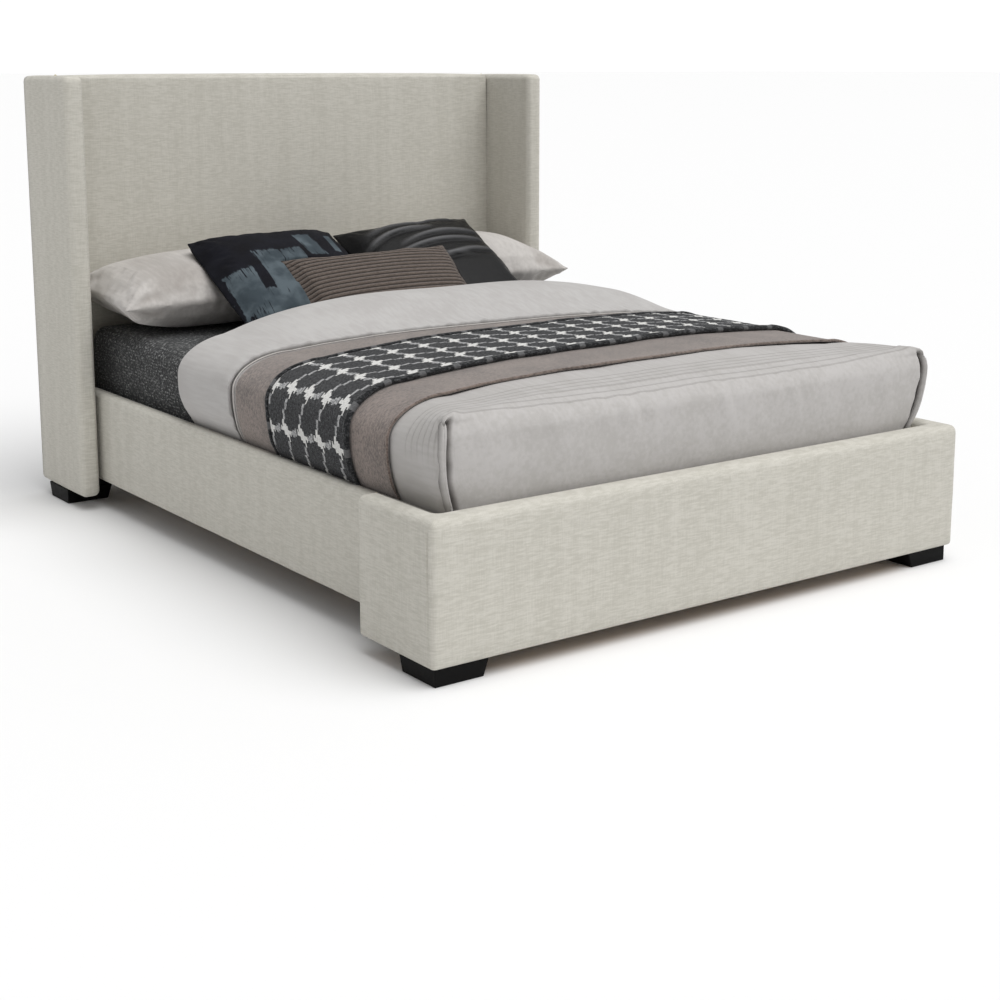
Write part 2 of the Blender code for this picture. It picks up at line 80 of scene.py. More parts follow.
# bedding, in metres from the mattress or from the front of the footboard
SIDE_RUN = 0.150
SIDE_DROP = 0.085
FOOT_RUN = 0.075
FOOT_DROP = 0.055
FAR_RUN = 0.105
FAR_DROP = 0.075
CROWN = 0.022
MITRE_RUN = 0.030
MITRE_DROP = 0.022
MITRE_REACH = 0.30
GAP_DEPTH = 0.022
DUVET_BULGE = 0.030
FAR_BULGE = 0.052
FOOT_BULGE = 0.010
HEAD_OF_DUVET = 1.355
FOLD_FOOT = 1.040
FOLD_SKEW = -0.035
FOLD_HEAD = 1.365
FOLD_TOP = 0.074
FOLD_PEAK = 0.10
FOLD_HALF = 0.84
FOLD_SIDE = 0.016
DUVET_CLOTH = 0.004
# from the outside of the CAD blanket in to the duvet
BLANKET_OVER = 0.0033
# flat cloths laid across the bed
# edges of the blanket and throw: middle of the bed, and skew from there to the side
BLANKET_FOOT = (0.303, 0.010)
BLANKET_HEAD = (1.020, -0.035)
THROW_FOOT = (0.514, 0.044)
THROW_HEAD = (0.908, 0.044)

FOOT_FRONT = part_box("footboard_cover")[0].y
RAIL_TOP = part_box("side_rail_left_cover")[1].z
X, Y, Z = 0, 1, 2
SIDES = (("left", -1), ("right", 1))


def linear(red, green, blue):
    """A display colour, 0 to 255, as the linear colour that a shader takes."""
    values = []
    for value in (red, green, blue):
        share = value / 255.0
        values.append(share / 12.92 if share <= 0.04045 else ((share + 0.055) / 1.055) ** 2.4)
    return (*values, 1.0)


def smooth(low, high, value):
    """0 below low, 1 above high, and an even turn between them."""
    share = np.clip((value - low) / (high - low), 0.0, 1.0)
    return share * share * (3.0 - 2.0 * share)


def waviness(point, size, seed=0.0):
    """Soft, repeatable unevenness between -1 and 1, with bumps of about the given size."""
    return noise.noise(Vector(point) / size + Vector((seed, -seed, seed)))


def ripple(x, y, z):
    """Smooth, repeatable noise between -1 and 1."""
    return noise.noise(Vector((x, y, z)))


def ease(low, high, value):
    """smooth for a single value, as a plain number."""
    return float(smooth(low, high, value))


# ---------------------------------------------------------------- materials


class Finish:
    """A material's node tree, built one node at a time."""

    def __init__(self, name, roughness, sheen=0.0, metallic=0.0):
        self.material = bpy.data.materials.new(name)
        self.material.use_nodes = True
        self.tree = self.material.node_tree
        self.shader = self.tree.nodes["Principled BSDF"]
        self.shader.inputs["Roughness"].default_value = roughness
        self.shader.inputs["Metallic"].default_value = metallic
        self.shader.inputs["Sheen Weight"].default_value = sheen
        self.shader.inputs["Sheen Roughness"].default_value = 0.5
        self.shader.inputs["Specular IOR Level"].default_value = 0.25

    def add(self, kind, inputs=None, **settings):
        node = self.tree.nodes.new(kind)
        for key, value in settings.items():
            setattr(node, key, value)
        for key, value in (inputs or {}).items():
            if isinstance(value, bpy.types.NodeSocket):
                self.tree.links.new(value, node.inputs[key])
            else:
                node.inputs[key].default_value = value
        return node

    def place(self, kind="Object", scale=(1.0, 1.0, 1.0)):
        source = self.add("ShaderNodeTexCoord").outputs[kind]
        return self.add("ShaderNodeMapping", {"Vector": source, "Scale": scale}).outputs[0]

    def noise(self, vector, scale=1.0, detail=2.0, rough=0.5, distortion=0.0):
        inputs = {"Vector": vector, "Scale": scale, "Detail": detail, "Roughness": rough,
                  "Distortion": distortion}
        return self.add("ShaderNodeTexNoise", inputs).outputs["Fac"]

    def cells(self, vector, scale=1.0):
        inputs = {"Vector": vector, "Scale": scale}
        return self.add("ShaderNodeTexVoronoi", inputs).outputs["Distance"]

    def waves(self, vector, scale, direction="X", distortion=0.0):
        inputs = {"Vector": vector, "Scale": scale, "Distortion": distortion, "Detail": 1.0}
        return self.add("ShaderNodeTexWave", inputs, bands_direction=direction).outputs["Fac"]

    def math(self, operation, first, second=0.0, third=0.0):
        inputs = {0: first, 1: second, 2: third}
        return self.add("ShaderNodeMath", inputs, operation=operation).outputs[0]

    def times(self, first, second):
        return self.math("MULTIPLY", first, second)

    def times_plus(self, first, second, third):
        return self.math("MULTIPLY_ADD", first, second, third)

    def stored(self, name):
        """A number that mark_vertices kept on the mesh."""
        return self.add("ShaderNodeAttribute", attribute_name=name).outputs["Fac"]

    def axes(self, vector):
        return self.add("ShaderNodeSeparateXYZ", {0: vector}).outputs

    def range(self, value, low, high, to_low=0.0, to_high=1.0):
        inputs = {"Value": value, "From Min": low, "From Max": high, "To Min": to_low, "To Max": to_high}
        return self.add("ShaderNodeMapRange", inputs, interpolation_type="SMOOTHSTEP").outputs[0]

    def mix(self, share, first, second):
        node = self.add("ShaderNodeMix", data_type="RGBA")
        for key, value in ((0, share), (6, first), (7, second)):
            if isinstance(value, bpy.types.NodeSocket):
                self.tree.links.new(value, node.inputs[key])
            else:
                node.inputs[key].default_value = value
        return node.outputs[2]

    def colour(self, value):
        self.tree.links.new(value, self.shader.inputs["Base Color"])

    def roughness(self, value):
        self.tree.links.new(value, self.shader.inputs["Roughness"])

    def bump(self, height, depth, strength=1.0, under=None):
        inputs = {"Height": height, "Distance": depth, "Strength": strength}
        if under is not None:
            inputs["Normal"] = under
        normal = self.add("ShaderNodeBump", inputs).outputs[0]
        self.tree.links.new(normal, self.shader.inputs["Normal"])
        return normal


def linen_material():
    """A linen weave: short level slubs over fine upright threads."""
    f = Finish("linen", 0.92, sheen=0.12)
    slub = f.noise(f.place(scale=(36.0, 36.0, 270.0)), detail=1.5, rough=0.5)
    fine = f.noise(f.place(scale=(150.0, 150.0, 520.0)), detail=2.0, rough=0.6)
    thread = f.noise(f.place(scale=(420.0, 420.0, 26.0)), detail=1.0, rough=0.5)
    column = f.noise(f.place(scale=(30.0, 30.0, 1.2)), detail=1.0)
    weave = f.times_plus(slub, 0.52, f.times(thread, 0.24))
    weave = f.times_plus(fine, 0.24, weave)
    tone = f.times_plus(column, 0.16, f.times(weave, 0.84))
    f.colour(f.mix(f.range(tone, 0.36, 0.64), linear(185, 182, 172), linear(202, 199, 190)))
    f.bump(weave, 0.0008, 0.5)
    return f.material


def knit_material():
    """The coverlet: a chunky charcoal knit flecked with pale fibre."""
    f = Finish("charcoal_knit_cloth", 0.95, sheen=0.1)
    stitch = f.cells(f.place(scale=(95.0, 95.0, 130.0)))
    strand = f.noise(f.place(scale=(120.0, 120.0, 260.0)), detail=3.0, rough=0.7, distortion=0.6)
    rows = f.waves(f.place(), 34.0, "Z", distortion=2.0)
    height = f.times_plus(rows, 0.25, f.math("SUBTRACT", 1.0, stitch))
    fleck = f.times(f.range(strand, 0.46, 0.62), f.range(height, 0.45, 0.95))
    f.colour(f.mix(fleck, linear(46, 47, 48), linear(142, 143, 142)))
    f.bump(height, 0.0035, 0.9)
    return f.material


def cotton_material(name, low, high, crease=0.0, tucks=None):
    """Plain cotton: a fine weave and soft creases, with painted shade in marked dips and in the duvet's
    mitre gap, and sewn tucks with painted shade along them where the duvet has them.
    """
    f = Finish(name, 0.80, sheen=0.18)
    weave_x = f.waves(f.place(), 240.0, "X", distortion=0.6)
    weave_y = f.waves(f.place(), 240.0, "Y", distortion=0.6)
    weave = f.math("MAXIMUM", weave_x, weave_y)
    slub = f.noise(f.place(scale=(90.0, 9.0, 90.0)), detail=2.0)
    soft = f.noise(f.place(), scale=6.0, detail=3.0, rough=0.55, distortion=0.5)
    tone = f.times_plus(slub, 0.5, f.times(soft, 0.5))
    body = f.mix(f.range(tone, 0.35, 0.65), low, high)
    # painted shade: the cloth is darkened towards brown-grey in marked dips, by how deep each dip is
    dip = f.stored("dip")
    body = f.mix(f.times(dip, 0.42), body, linear(118, 108, 100))
    # painted shade: the duvet's mitre gap is darkened to a dark brown where the gap is marked
    gap = f.stored("gap")
    body = f.mix(f.times(gap, 0.90), body, linear(52, 44, 38))
    if tucks is not None:
        first, pitch, count, fade_low, fade_high = tucks
        axes = f.axes(f.place())
        step = f.math("DIVIDE", f.math("SUBTRACT", axes[1], first), pitch)
        away = f.math("ABSOLUTE", f.math("SUBTRACT", step, f.math("ROUND", step)))
        line = f.range(away, 0.02, 0.16, 1.0, 0.0)
        line = f.times(line, f.math("GREATER_THAN", step, -0.5))
        line = f.times(line, f.math("LESS_THAN", step, count - 0.5))
        line = f.times(line, f.range(axes[2], fade_low, fade_high))
        line = f.times(line, f.range(gap, 0.0, 0.15, 1.0, 0.0))
        # painted shade: each sewn tuck line is darkened, over the tuck's own bump
        body = f.mix(f.times(line, 0.40), body, linear(138, 134, 130))
    f.colour(body)
    fine = f.bump(weave, 0.0002, 0.5)
    if tucks is not None:
        fine = f.bump(line, 0.0022, 0.7, under=fine)
    f.bump(soft, crease, 1.0, under=fine)
    return f.material


def felt_material():
    """Brushed taupe wool with pale and dark fibres in it."""
    f = Finish("taupe_wool_felt", 0.98, sheen=0.55)
    fibre = f.noise(f.place(scale=(170.0, 170.0, 170.0)), detail=3.0, rough=0.7)
    nap = f.noise(f.place(scale=(90.0, 260.0, 90.0)), detail=2.0, rough=0.7)
    cloud = f.noise(f.place(), scale=8.0, detail=2.0)
    tone = f.times_plus(fibre, 0.5, f.times(nap, 0.5))
    tone = f.times_plus(cloud, 0.25, f.times(tone, 0.85))
    f.colour(f.mix(f.range(tone, 0.40, 0.66), linear(70, 60, 55), linear(130, 116, 108)))
    f.bump(tone, 0.0018, 0.9)
    return f.material


def mark(f, column, row, left, right, low, high):
    """1 inside a block of knit stitches and 0 outside it."""
    inside = f.times(f.math("GREATER_THAN", column, left - 0.5),
                    f.math("LESS_THAN", column, right + 0.5))
    inside = f.times(inside, f.math("GREATER_THAN", row, low - 0.5))
    return f.times(inside, f.math("LESS_THAN", row, high + 0.5))


def marks(f, column, row, blocks):
    """1 inside any of the blocks."""
    found = mark(f, column, row, *blocks[0])
    for block in blocks[1:]:
        found = f.math("MAXIMUM", found, mark(f, column, row, *block))
    return found


# a white figure of the throw, in stitches: first and last column, first and last row
FIGURE = (
    (7, 10, 8, 12), (8, 11, 12, 13), (10, 11, 13, 15), (6, 8, 7, 8), (6, 6, 5, 7),
    (4, 6, 9, 10), (4, 4, 8, 9), (11, 13, 10, 11), (13, 13, 11, 12),
)
FIGURE_LINKS = ((9, 10, 16, 20), (7, 8, 0, 4), (15, 16, 9, 12), (0, 1, 8, 11), (2, 3, 9, 10))
STITCH = 0.0050
FIGURE_COLUMNS = 17
FIGURE_ROWS = 21


def throw_material():
    """A charcoal knit with rows of white stepped figures, linked by paler stitches."""
    f = Finish("throw_knit", 0.97, sheen=0.12)
    across = f.axes(f.place("UV"))
    wobble = f.noise(f.place("UV", scale=(60.0, 60.0, 60.0)), detail=2.0)
    shift = f.times_plus(wobble, 1.4, -0.7)
    stitch_u = f.math("FLOOR", f.math("ADD", f.math("DIVIDE", across[0], STITCH), shift))
    stitch_v = f.math("FLOOR", f.math("ADD", f.math("DIVIDE", across[1], STITCH), shift))
    column = f.math("FLOORED_MODULO", stitch_v, FIGURE_COLUMNS)
    row = f.math("FLOORED_MODULO", stitch_u, FIGURE_ROWS)
    white = marks(f, column, row, FIGURE)
    grey = marks(f, column, row, FIGURE_LINKS)
    fleck = f.noise(f.place("UV", scale=(150.0, 230.0, 200.0)), detail=3.0, rough=0.8)
    dark = f.mix(f.range(fleck, 0.42, 0.70), linear(20, 21, 23), linear(86, 87, 90))
    pale = f.mix(f.range(fleck, 0.35, 0.62), linear(84, 85, 89), linear(190, 190, 190))
    bright = f.mix(f.range(fleck, 0.3, 0.6), linear(190, 190, 188), linear(226, 225, 222))
    colour = f.mix(grey, dark, pale)
    f.colour(f.mix(white, colour, bright))
    stitches_u = f.math("SINE", f.times(across[0], math.tau / STITCH))
    stitches_v = f.math("SINE", f.times(across[1], math.tau / STITCH))
    loops = f.times_plus(stitches_u, 0.5, f.times(stitches_v, 0.5))
    height = f.times_plus(loops, 0.25, f.times_plus(white, 0.5, fleck))
    f.bump(height, 0.0022, 0.9)
    return f.material


def dark_wool_material():
    """The throw's rolled edge: charcoal yarn, brushed, paler where a figure comes round it."""
    f = Finish("throw_dark_wool", 0.98, sheen=0.15)
    yarn = f.noise(f.place(scale=(110.0, 170.0, 170.0)), detail=3.0, rough=0.75)
    run = f.math("DIVIDE", f.axes(f.place("UV"))[0], STITCH)
    row = f.math("FLOORED_MODULO", f.math("FLOOR", run), FIGURE_ROWS)
    figure = mark(f, row, row, 8, 11, 8, 11)
    dark = f.mix(f.range(yarn, 0.44, 0.72), linear(20, 21, 23), linear(84, 85, 87))
    f.colour(f.mix(f.times(figure, 0.40), dark, linear(136, 136, 137)))
    f.bump(yarn, 0.005, 0.9)
    return f.material


# the cushion's brush strokes: middle across and up, half width, half height, lean in degrees
STROKES = (
    (-0.205, -0.100, 0.045, 0.105, 3.0), (-0.085, -0.055, 0.042, 0.130, 0.0),
    (0.000, -0.080, 0.045, 0.150, -2.0), (0.088, 0.085, 0.032, 0.066, -3.0),
    (0.115, -0.100, 0.055, 0.100, -2.0), (0.178, 0.095, 0.012, 0.055, 4.0),
    (-0.020, -0.190, 0.232, 0.080, 0.0),
)


def navy_print_material():
    """Near-black navy cloth with dry slate-grey brush strokes."""
    f = Finish("navy_brush_print", 0.8, sheen=0.02)
    f.shader.inputs["Specular IOR Level"].default_value = 0.12
    bristle = f.noise(f.place(scale=(170.0, 9.0, 9.0)), detail=4.0, rough=0.7)
    ragged = f.noise(f.place(scale=(70.0, 30.0, 30.0)), detail=4.0, rough=0.7)
    paint = None
    for across, up, half_width, half_height, lean in STROKES:
        place = f.add("ShaderNodeMapping", {
            "Vector": f.place(), "Location": (-across, -up, 0.0)}, vector_type="POINT").outputs[0]
        place = f.add("ShaderNodeMapping", {
            "Vector": place, "Rotation": (0.0, 0.0, math.radians(lean))}).outputs[0]
        axes = f.axes(place)
        side = f.math("DIVIDE", f.math("ABSOLUTE", axes[0]), half_width)
        end = f.math("DIVIDE", f.math("ABSOLUTE", axes[1]), half_height)
        reach = f.math("MAXIMUM", side, end)
        edge = f.times_plus(ragged, 0.5, f.math("ADD", reach, -0.25))
        inside = f.range(edge, 0.94, 0.99, 1.0, 0.0)
        dry = f.range(f.times_plus(bristle, 1.0, f.times(reach, -0.24)), 0.17, 0.24)
        stroke = f.times(inside, dry)
        paint = stroke if paint is None else f.math("MAXIMUM", paint, stroke)
    cloud = f.noise(f.place(), scale=14.0, detail=3.0)
    slate = f.mix(f.range(cloud, 0.35, 0.65), linear(58, 67, 73), linear(86, 96, 102))
    weave = f.math("MAXIMUM", f.waves(f.place(), 260.0, "X"), f.waves(f.place(), 260.0, "Y"))
    navy = f.mix(f.range(cloud, 0.3, 0.7), linear(9, 9, 15), linear(18, 19, 27))
    f.colour(f.mix(paint, navy, slate))
    f.bump(weave, 0.0003, 0.6)
    return f.material


def satin_material():
    """Charcoal satin with a soft gloss and a painted highlight along the crests of its creases."""
    f = Finish("charcoal_satin_cloth", 0.34)
    f.shader.inputs["Specular IOR Level"].default_value = 0.16
    weave = f.waves(f.place(), 330.0, "Y", distortion=0.3)
    cloud = f.noise(f.place(scale=(3.0, 12.0, 3.0)), detail=3.0)
    base = f.mix(f.range(cloud, 0.35, 0.65), linear(9, 9, 10), linear(17, 17, 18))
    # painted highlight: the marked crests of the creases are lightened to pale grey
    crest = f.stored("crest")
    f.colour(f.mix(f.times(crest, 0.75), base, linear(104, 104, 106)))
    f.roughness(f.range(cloud, 0.3, 0.7, 0.30, 0.40))
    fine = f.bump(weave, 0.0002, 0.4)
    f.bump(cloud, 0.004, 0.5, under=fine)
    return f.material


RIB = 0.0158


def corduroy_material():
    """Ribbed taupe cloth, with painted shade down in the grooves."""
    f = Finish("taupe_corduroy", 0.95, sheen=0.15)
    nap = f.noise(f.place(scale=(60.0, 420.0, 420.0)), detail=3.0, rough=0.7)
    pile = f.noise(f.place(scale=(300.0, 300.0, 300.0)), detail=3.0, rough=0.7)
    tone = f.times_plus(nap, 0.6, f.times(pile, 0.4))
    ridge = f.math("ABSOLUTE", f.math("COSINE", f.times(f.axes(f.place())[1], math.pi / RIB)))
    cloth = f.mix(f.range(tone, 0.38, 0.64), linear(80, 71, 65), linear(112, 101, 94))
    # painted shade: the cloth goes to a dark brown down in each groove between the ribs
    f.colour(f.mix(f.range(ridge, 0.05, 0.80), linear(44, 38, 34), cloth))
    f.bump(f.times_plus(ridge, 1.5, tone), 0.0016, 0.8)
    return f.material


def wood_material(name, dark, light, roughness, grain=90.0, gloss=0.25):
    """Sawn timber: long grain along the piece, with a few darker bands."""
    f = Finish(name, roughness)
    f.shader.inputs["Specular IOR Level"].default_value = gloss
    long_grain = f.noise(f.place(scale=(4.0, grain, grain)), detail=5.0, rough=0.65, distortion=0.4)
    band = f.noise(f.place(scale=(0.8, 14.0, 14.0)), detail=2.0, distortion=1.5)
    tone = f.times_plus(band, 0.5, f.times(long_grain, 0.5))
    f.colour(f.mix(f.range(tone, 0.34, 0.66), dark, light))
    f.roughness(f.range(long_grain, 0.3, 0.7, roughness - 0.06, roughness + 0.08))
    f.bump(long_grain, 0.0004, 0.5)
    return f.material


def foam_material():
    f = Finish("cut_foam", 0.97)
    cells = f.cells(f.place(), 420.0)
    cloud = f.noise(f.place(), scale=6.0, detail=3.0)
    f.colour(f.mix(f.range(cloud, 0.3, 0.7), linear(214, 199, 150), linear(232, 220, 178)))
    f.bump(cells, 0.0012, 0.8)
    return f.material


def steel_material():
    f = Finish("zinc_plate", 0.42, metallic=1.0)
    spangle = f.cells(f.place(), 130.0)
    scratch = f.noise(f.place(scale=(20.0, 500.0, 20.0)), detail=3.0)
    f.colour(f.mix(spangle, linear(150, 152, 155), linear(190, 192, 195)))
    f.roughness(f.range(scratch, 0.3, 0.7, 0.34, 0.54))
    f.bump(scratch, 0.0001, 0.4)
    return f.material


def plastic_material():
    f = Finish("moulded_black", 0.55)
    grain = f.noise(f.place(), scale=900.0, detail=2.0)
    f.colour(f.mix(grain, linear(20, 20, 21), linear(34, 34, 35)))
    f.bump(grain, 0.0002, 0.5)
    return f.material


def dust_cloth_material():
    f = Finish("spunbond_cloth", 0.95)
    fibre = f.cells(f.place(), 900.0)
    dimple = f.waves(f.place(), 160.0, "Z")
    f.colour(f.mix(fibre, linear(26, 26, 27), linear(58, 58, 60)))
    f.bump(f.math("ADD", fibre, dimple), 0.0004, 0.6)
    return f.material


LINEN = linen_material()
KNIT = knit_material()
TUCKS = (FOOT_FRONT + 0.102, 0.0235, 6, 0.46, 0.56)
DUVET_COTTON = cotton_material(
    "duvet_cotton_cloth", linear(174, 171, 168), linear(184, 181, 179), 0.003, TUCKS)
FOLD_COTTON = cotton_material("duvet_fold_cloth", linear(175, 172, 170), linear(184, 182, 180), 0.004)
PILLOW_COTTON = cotton_material("pillow_cotton_cloth", linear(176, 172, 168), linear(190, 186, 182), 0.003)
TICKING = cotton_material("mattress_ticking_cloth", linear(214, 212, 206), linear(230, 228, 224), 0.002)
FELT = felt_material()
THROW_KNIT = throw_material()
DARK_WOOL = dark_wool_material()
NAVY = navy_print_material()
SATIN = satin_material()
CORDUROY = corduroy_material()
PINE = wood_material("pine_grain", linear(176, 138, 92), linear(216, 180, 132), 0.62)
PLYWOOD = wood_material("plywood_grain", linear(158, 122, 82), linear(198, 164, 118), 0.68)
BLACK_WOOD = wood_material("black_stained_wood", linear(5, 5, 6), linear(14, 13, 13), 0.5, gloss=0.10)
FOAM = foam_material()
STEEL = steel_material()
PLASTIC = plastic_material()
DUST_CLOTH = dust_cloth_material()


# ---------------------------------------------------------------- mesh helpers


def new_object(name, data):
    piece = bpy.data.objects.new(name, data)
    bpy.context.scene.collection.objects.link(piece)
    return piece


def make_piece(name, verts, faces, material, uvs=None):
    """A mesh object at the world origin; uvs gives each vertex its place on the flat cloth."""
    mesh = bpy.data.meshes.new(name)
    mesh.from_pydata([tuple(map(float, v)) for v in verts], [], faces)
    mesh.update()
    if uvs is not None:
        layer = mesh.uv_layers.new(name="cloth")
        for loop in mesh.loops:
            layer.data[loop.index].uv = uvs[loop.vertex_index]
    mesh.shade_smooth()
    mesh.materials.append(material)
    return new_object(name, mesh)


def thicken(piece, thickness, even=True):
    """Give an open surface its thickness, inwards from its face."""
    layer = piece.modifiers.new("cloth", "SOLIDIFY")
    layer.thickness = thickness
    layer.offset = -1.0
    layer.use_even_offset = even


def keep(piece, body, slot, *nodes):
    """Hand a finished piece to the frame."""
    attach(piece, body)
    if nodes:
        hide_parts(*nodes)


def face_outwards(piece):
    """Turn every face of a closed piece outwards."""
    mesh = bmesh.new()
    mesh.from_mesh(piece.data)
    bmesh.ops.recalc_face_normals(mesh, faces=mesh.faces[:])
    mesh.to_mesh(piece.data)
    mesh.free()
    piece.data.shade_smooth()


def ring_faces(count, size, flip=False):
    """Quads between rings of vertices that follow one another, and a face over each end."""
    faces = []
    for i in range(count):
        a, b = i * size, (i + 1) * size
        for k in range(size):
            j = (k + 1) % size
            faces.append((a + k, b + k, b + j, a + j) if flip else (a + k, a + j, b + j, b + k))
    faces.append(tuple(range(size)))
    faces.append(tuple(count * size + k for k in reversed(range(size))))
    return faces


def vertex_places(mesh):
    places = np.empty(len(mesh.vertices) * 3, np.float32)
    mesh.vertices.foreach_get("co", places)
    return places.reshape(-1, 3)


def vertex_directions(mesh):
    mesh.update()
    normals = np.empty(len(mesh.vertices) * 3, np.float32)
    mesh.vertex_normals.foreach_get("vector", normals)
    return normals.reshape(-1, 3)


def put_vertices(mesh, places):
    mesh.vertices.foreach_set("co", np.asarray(places, np.float32).ravel())
    mesh.update()


def move_along_normals(piece, amounts):
    mesh = piece.data
    steps = np.asarray(amounts, np.float32)[:, None] * vertex_directions(mesh)
    put_vertices(mesh, vertex_places(mesh) + steps)


def mark_vertices(piece, name, values):
    """Keep a number at every vertex for the piece's material to read."""
    layer = piece.data.attributes.new(name, "FLOAT", "POINT")
    layer.data.foreach_set("value", np.clip(np.asarray(values, np.float32), 0.0, 1.0))


def stops_along(low, high, radius, step, round_low=True, round_high=True, extra=()):
    """Places for grid lines: close together on rounded ends and evenly spread between them."""
    bend = [radius * (1.0 - math.tan(a)) for a in np.linspace(math.pi / 4.0, 0.0, CORNER_STEPS)]
    start = [low + d for d in bend] if round_low else [low]
    end = [high - d for d in reversed(bend)] if round_high else [high]
    count = max(1, math.ceil((end[0] - start[-1]) / step))
    middle = list(np.linspace(start[-1], end[0], count + 1))[1:-1]
    added = []
    for value in sorted(e for e in extra if start[-1] + CLOSEST < e < end[0] - CLOSEST):
        if not added or value - added[-1] > CLOSEST:
            added.append(value)
    middle = [m for m in middle if all(abs(m - value) > CLOSEST for value in added)]
    values = sorted(start + middle + end + added)
    tidy = [values[0]]
    for value in values[1:]:
        if value - tidy[-1] > 1e-4:
            tidy.append(value)
    return tidy


def box_stops(low, high, radius, open_faces):
    """Grid lines for a box that is rounded everywhere but at its open faces."""
    return [stops_along(low[axis], high[axis], radius, GRID,
                        (axis, 0) not in open_faces, (axis, 1) not in open_faces) for axis in (X, Y, Z)]


def shell_grid(stops, open_faces):
    """The surface of a box of grid lines, as lattice places and quads, without its open faces."""
    sizes = [len(s) for s in stops]
    index, places, faces = {}, [], []

    def corner(place):
        if place not in index:
            index[place] = len(places)
            places.append(place)
        return index[place]

    for axis in (X, Y, Z):
        across, along = [a for a in (X, Y, Z) if a != axis]
        for end in (0, 1):
            if (axis, end) in open_faces:
                continue
            flip = (end == 1) == (axis != Y)
            for i in range(sizes[across] - 1):
                for j in range(sizes[along] - 1):
                    quad = []
                    for di, dj in ((0, 0), (1, 0), (1, 1), (0, 1)):
                        place = [0, 0, 0]
                        place[axis] = end * (sizes[axis] - 1)
                        place[across] = i + di
                        place[along] = j + dj
                        quad.append(corner(tuple(place)))
                    faces.append(quad if flip else quad[::-1])
    points = np.array([[stops[a][p[a]] for a in (X, Y, Z)] for p in places])
    return points, faces


def round_off(points, low, high, radius, open_faces):
    """Move box points onto the box with rounded edges, but not round its open faces."""
    inner_low = np.array(low, float) + radius
    inner_high = np.array(high, float) - radius
    for axis, end in open_faces:
        if end == 0:
            inner_low[axis] = low[axis]
        else:
            inner_high[axis] = high[axis]
    core = np.clip(points, inner_low, inner_high)
    away = points - core
    length = np.linalg.norm(away, axis=1)
    length[length == 0.0] = 1.0
    return core + away / length[:, None] * radius


def foam_under(cover, node, depth, open_faces):
    """The foam beneath a cover: its own surface again, just under the cloth, made thick."""
    foam = new_object(cover.name.replace("linen", "padding"), cover.data.copy())
    foam.data.materials.clear()
    foam.data.materials.append(FOAM)
    move_along_normals(foam, [-FABRIC - UNDER_CLOTH] * len(foam.data.vertices))
    low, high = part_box(node)
    for vert in foam.data.vertices:
        for axis, end in open_faces:
            if end and vert.co[axis] > high[axis] - RIM_REACH:
                vert.co[axis] -= RIM_SETBACK
            elif not end and vert.co[axis] < low[axis] + RIM_REACH:
                vert.co[axis] += RIM_SETBACK
    thicken(foam, depth, even=False)
    keep(foam, "bed_frame", "upholstery_foam", node.replace("cover", "foam"))


def padded_shell(name, node, radius, open_faces, puff, depth, fall=0.0, fall_width=0.05):
    """An upholstered cover: a soft-edged box over its CAD cover's place, open where it is stapled."""
    low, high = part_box(node)
    stops = box_stops(low, high, radius, open_faces)
    points, faces = shell_grid(stops, open_faces)
    size = np.array(high - low)
    share = (points - np.array(low)) / size
    centred = 1.0 - np.abs(2.0 * share - 1.0) ** 4
    rounded = round_off(points, low, high, radius, open_faces)
    piece = make_piece(name, rounded, faces, LINEN)
    amounts = []
    for vert, near, normal in zip(piece.data.vertices, centred, vertex_directions(piece.data)):
        spread = [max(near[a], 0.0) for a in (X, Y, Z)]
        main = max(range(3), key=lambda a: abs(normal[a]))
        bulge = np.prod([spread[a] for a in (X, Y, Z) if a != main])
        uneven = 0.0006 * waviness(vert.co, 0.16) + 0.0004 * waviness(vert.co, 0.05, 3.0)
        drop = 0.0
        side = min(vert.co.x - low.x, high.x - vert.co.x)
        if fall and main == Y:
            drop = fall * (1.0 - ease(0.0, fall_width, side))
        elif fall and main == X:
            drop = 0.0035
        amounts.append(puff * bulge + uneven * bulge - drop)
    move_along_normals(piece, amounts)
    foam_under(piece, node, depth, open_faces)
    thicken(piece, FABRIC)
    keep(piece, "bed_frame", "linen_upholstery", node)
    return piece


def make_frame_covers():
    back = {(Y, 1)}
    panel = padded_shell("headboard_linen", "headboard_cover", PANEL_RADIUS, back, 0.006, 0.021, 0.006)
    for side, sign in SIDES:
        node = f"wing_{side}_cover"
        wing = padded_shell(f"wing_{side}_linen", node, PAD_RADIUS, back, 0.002, 0.009)
        inner = {(X, 1 if sign < 0 else 0)}
        node = f"side_rail_{side}_cover"
        rail = padded_shell(f"side_rail_{side}_linen", node, 0.014, inner, 0.002, 0.009)


# ---------------------------------------------------------------- footboard cover


SEAM_STOPS = (0.001, 0.0025, 0.004, 0.0055, 0.007, 0.0085, 0.010, 0.012, 0.015, 0.020)


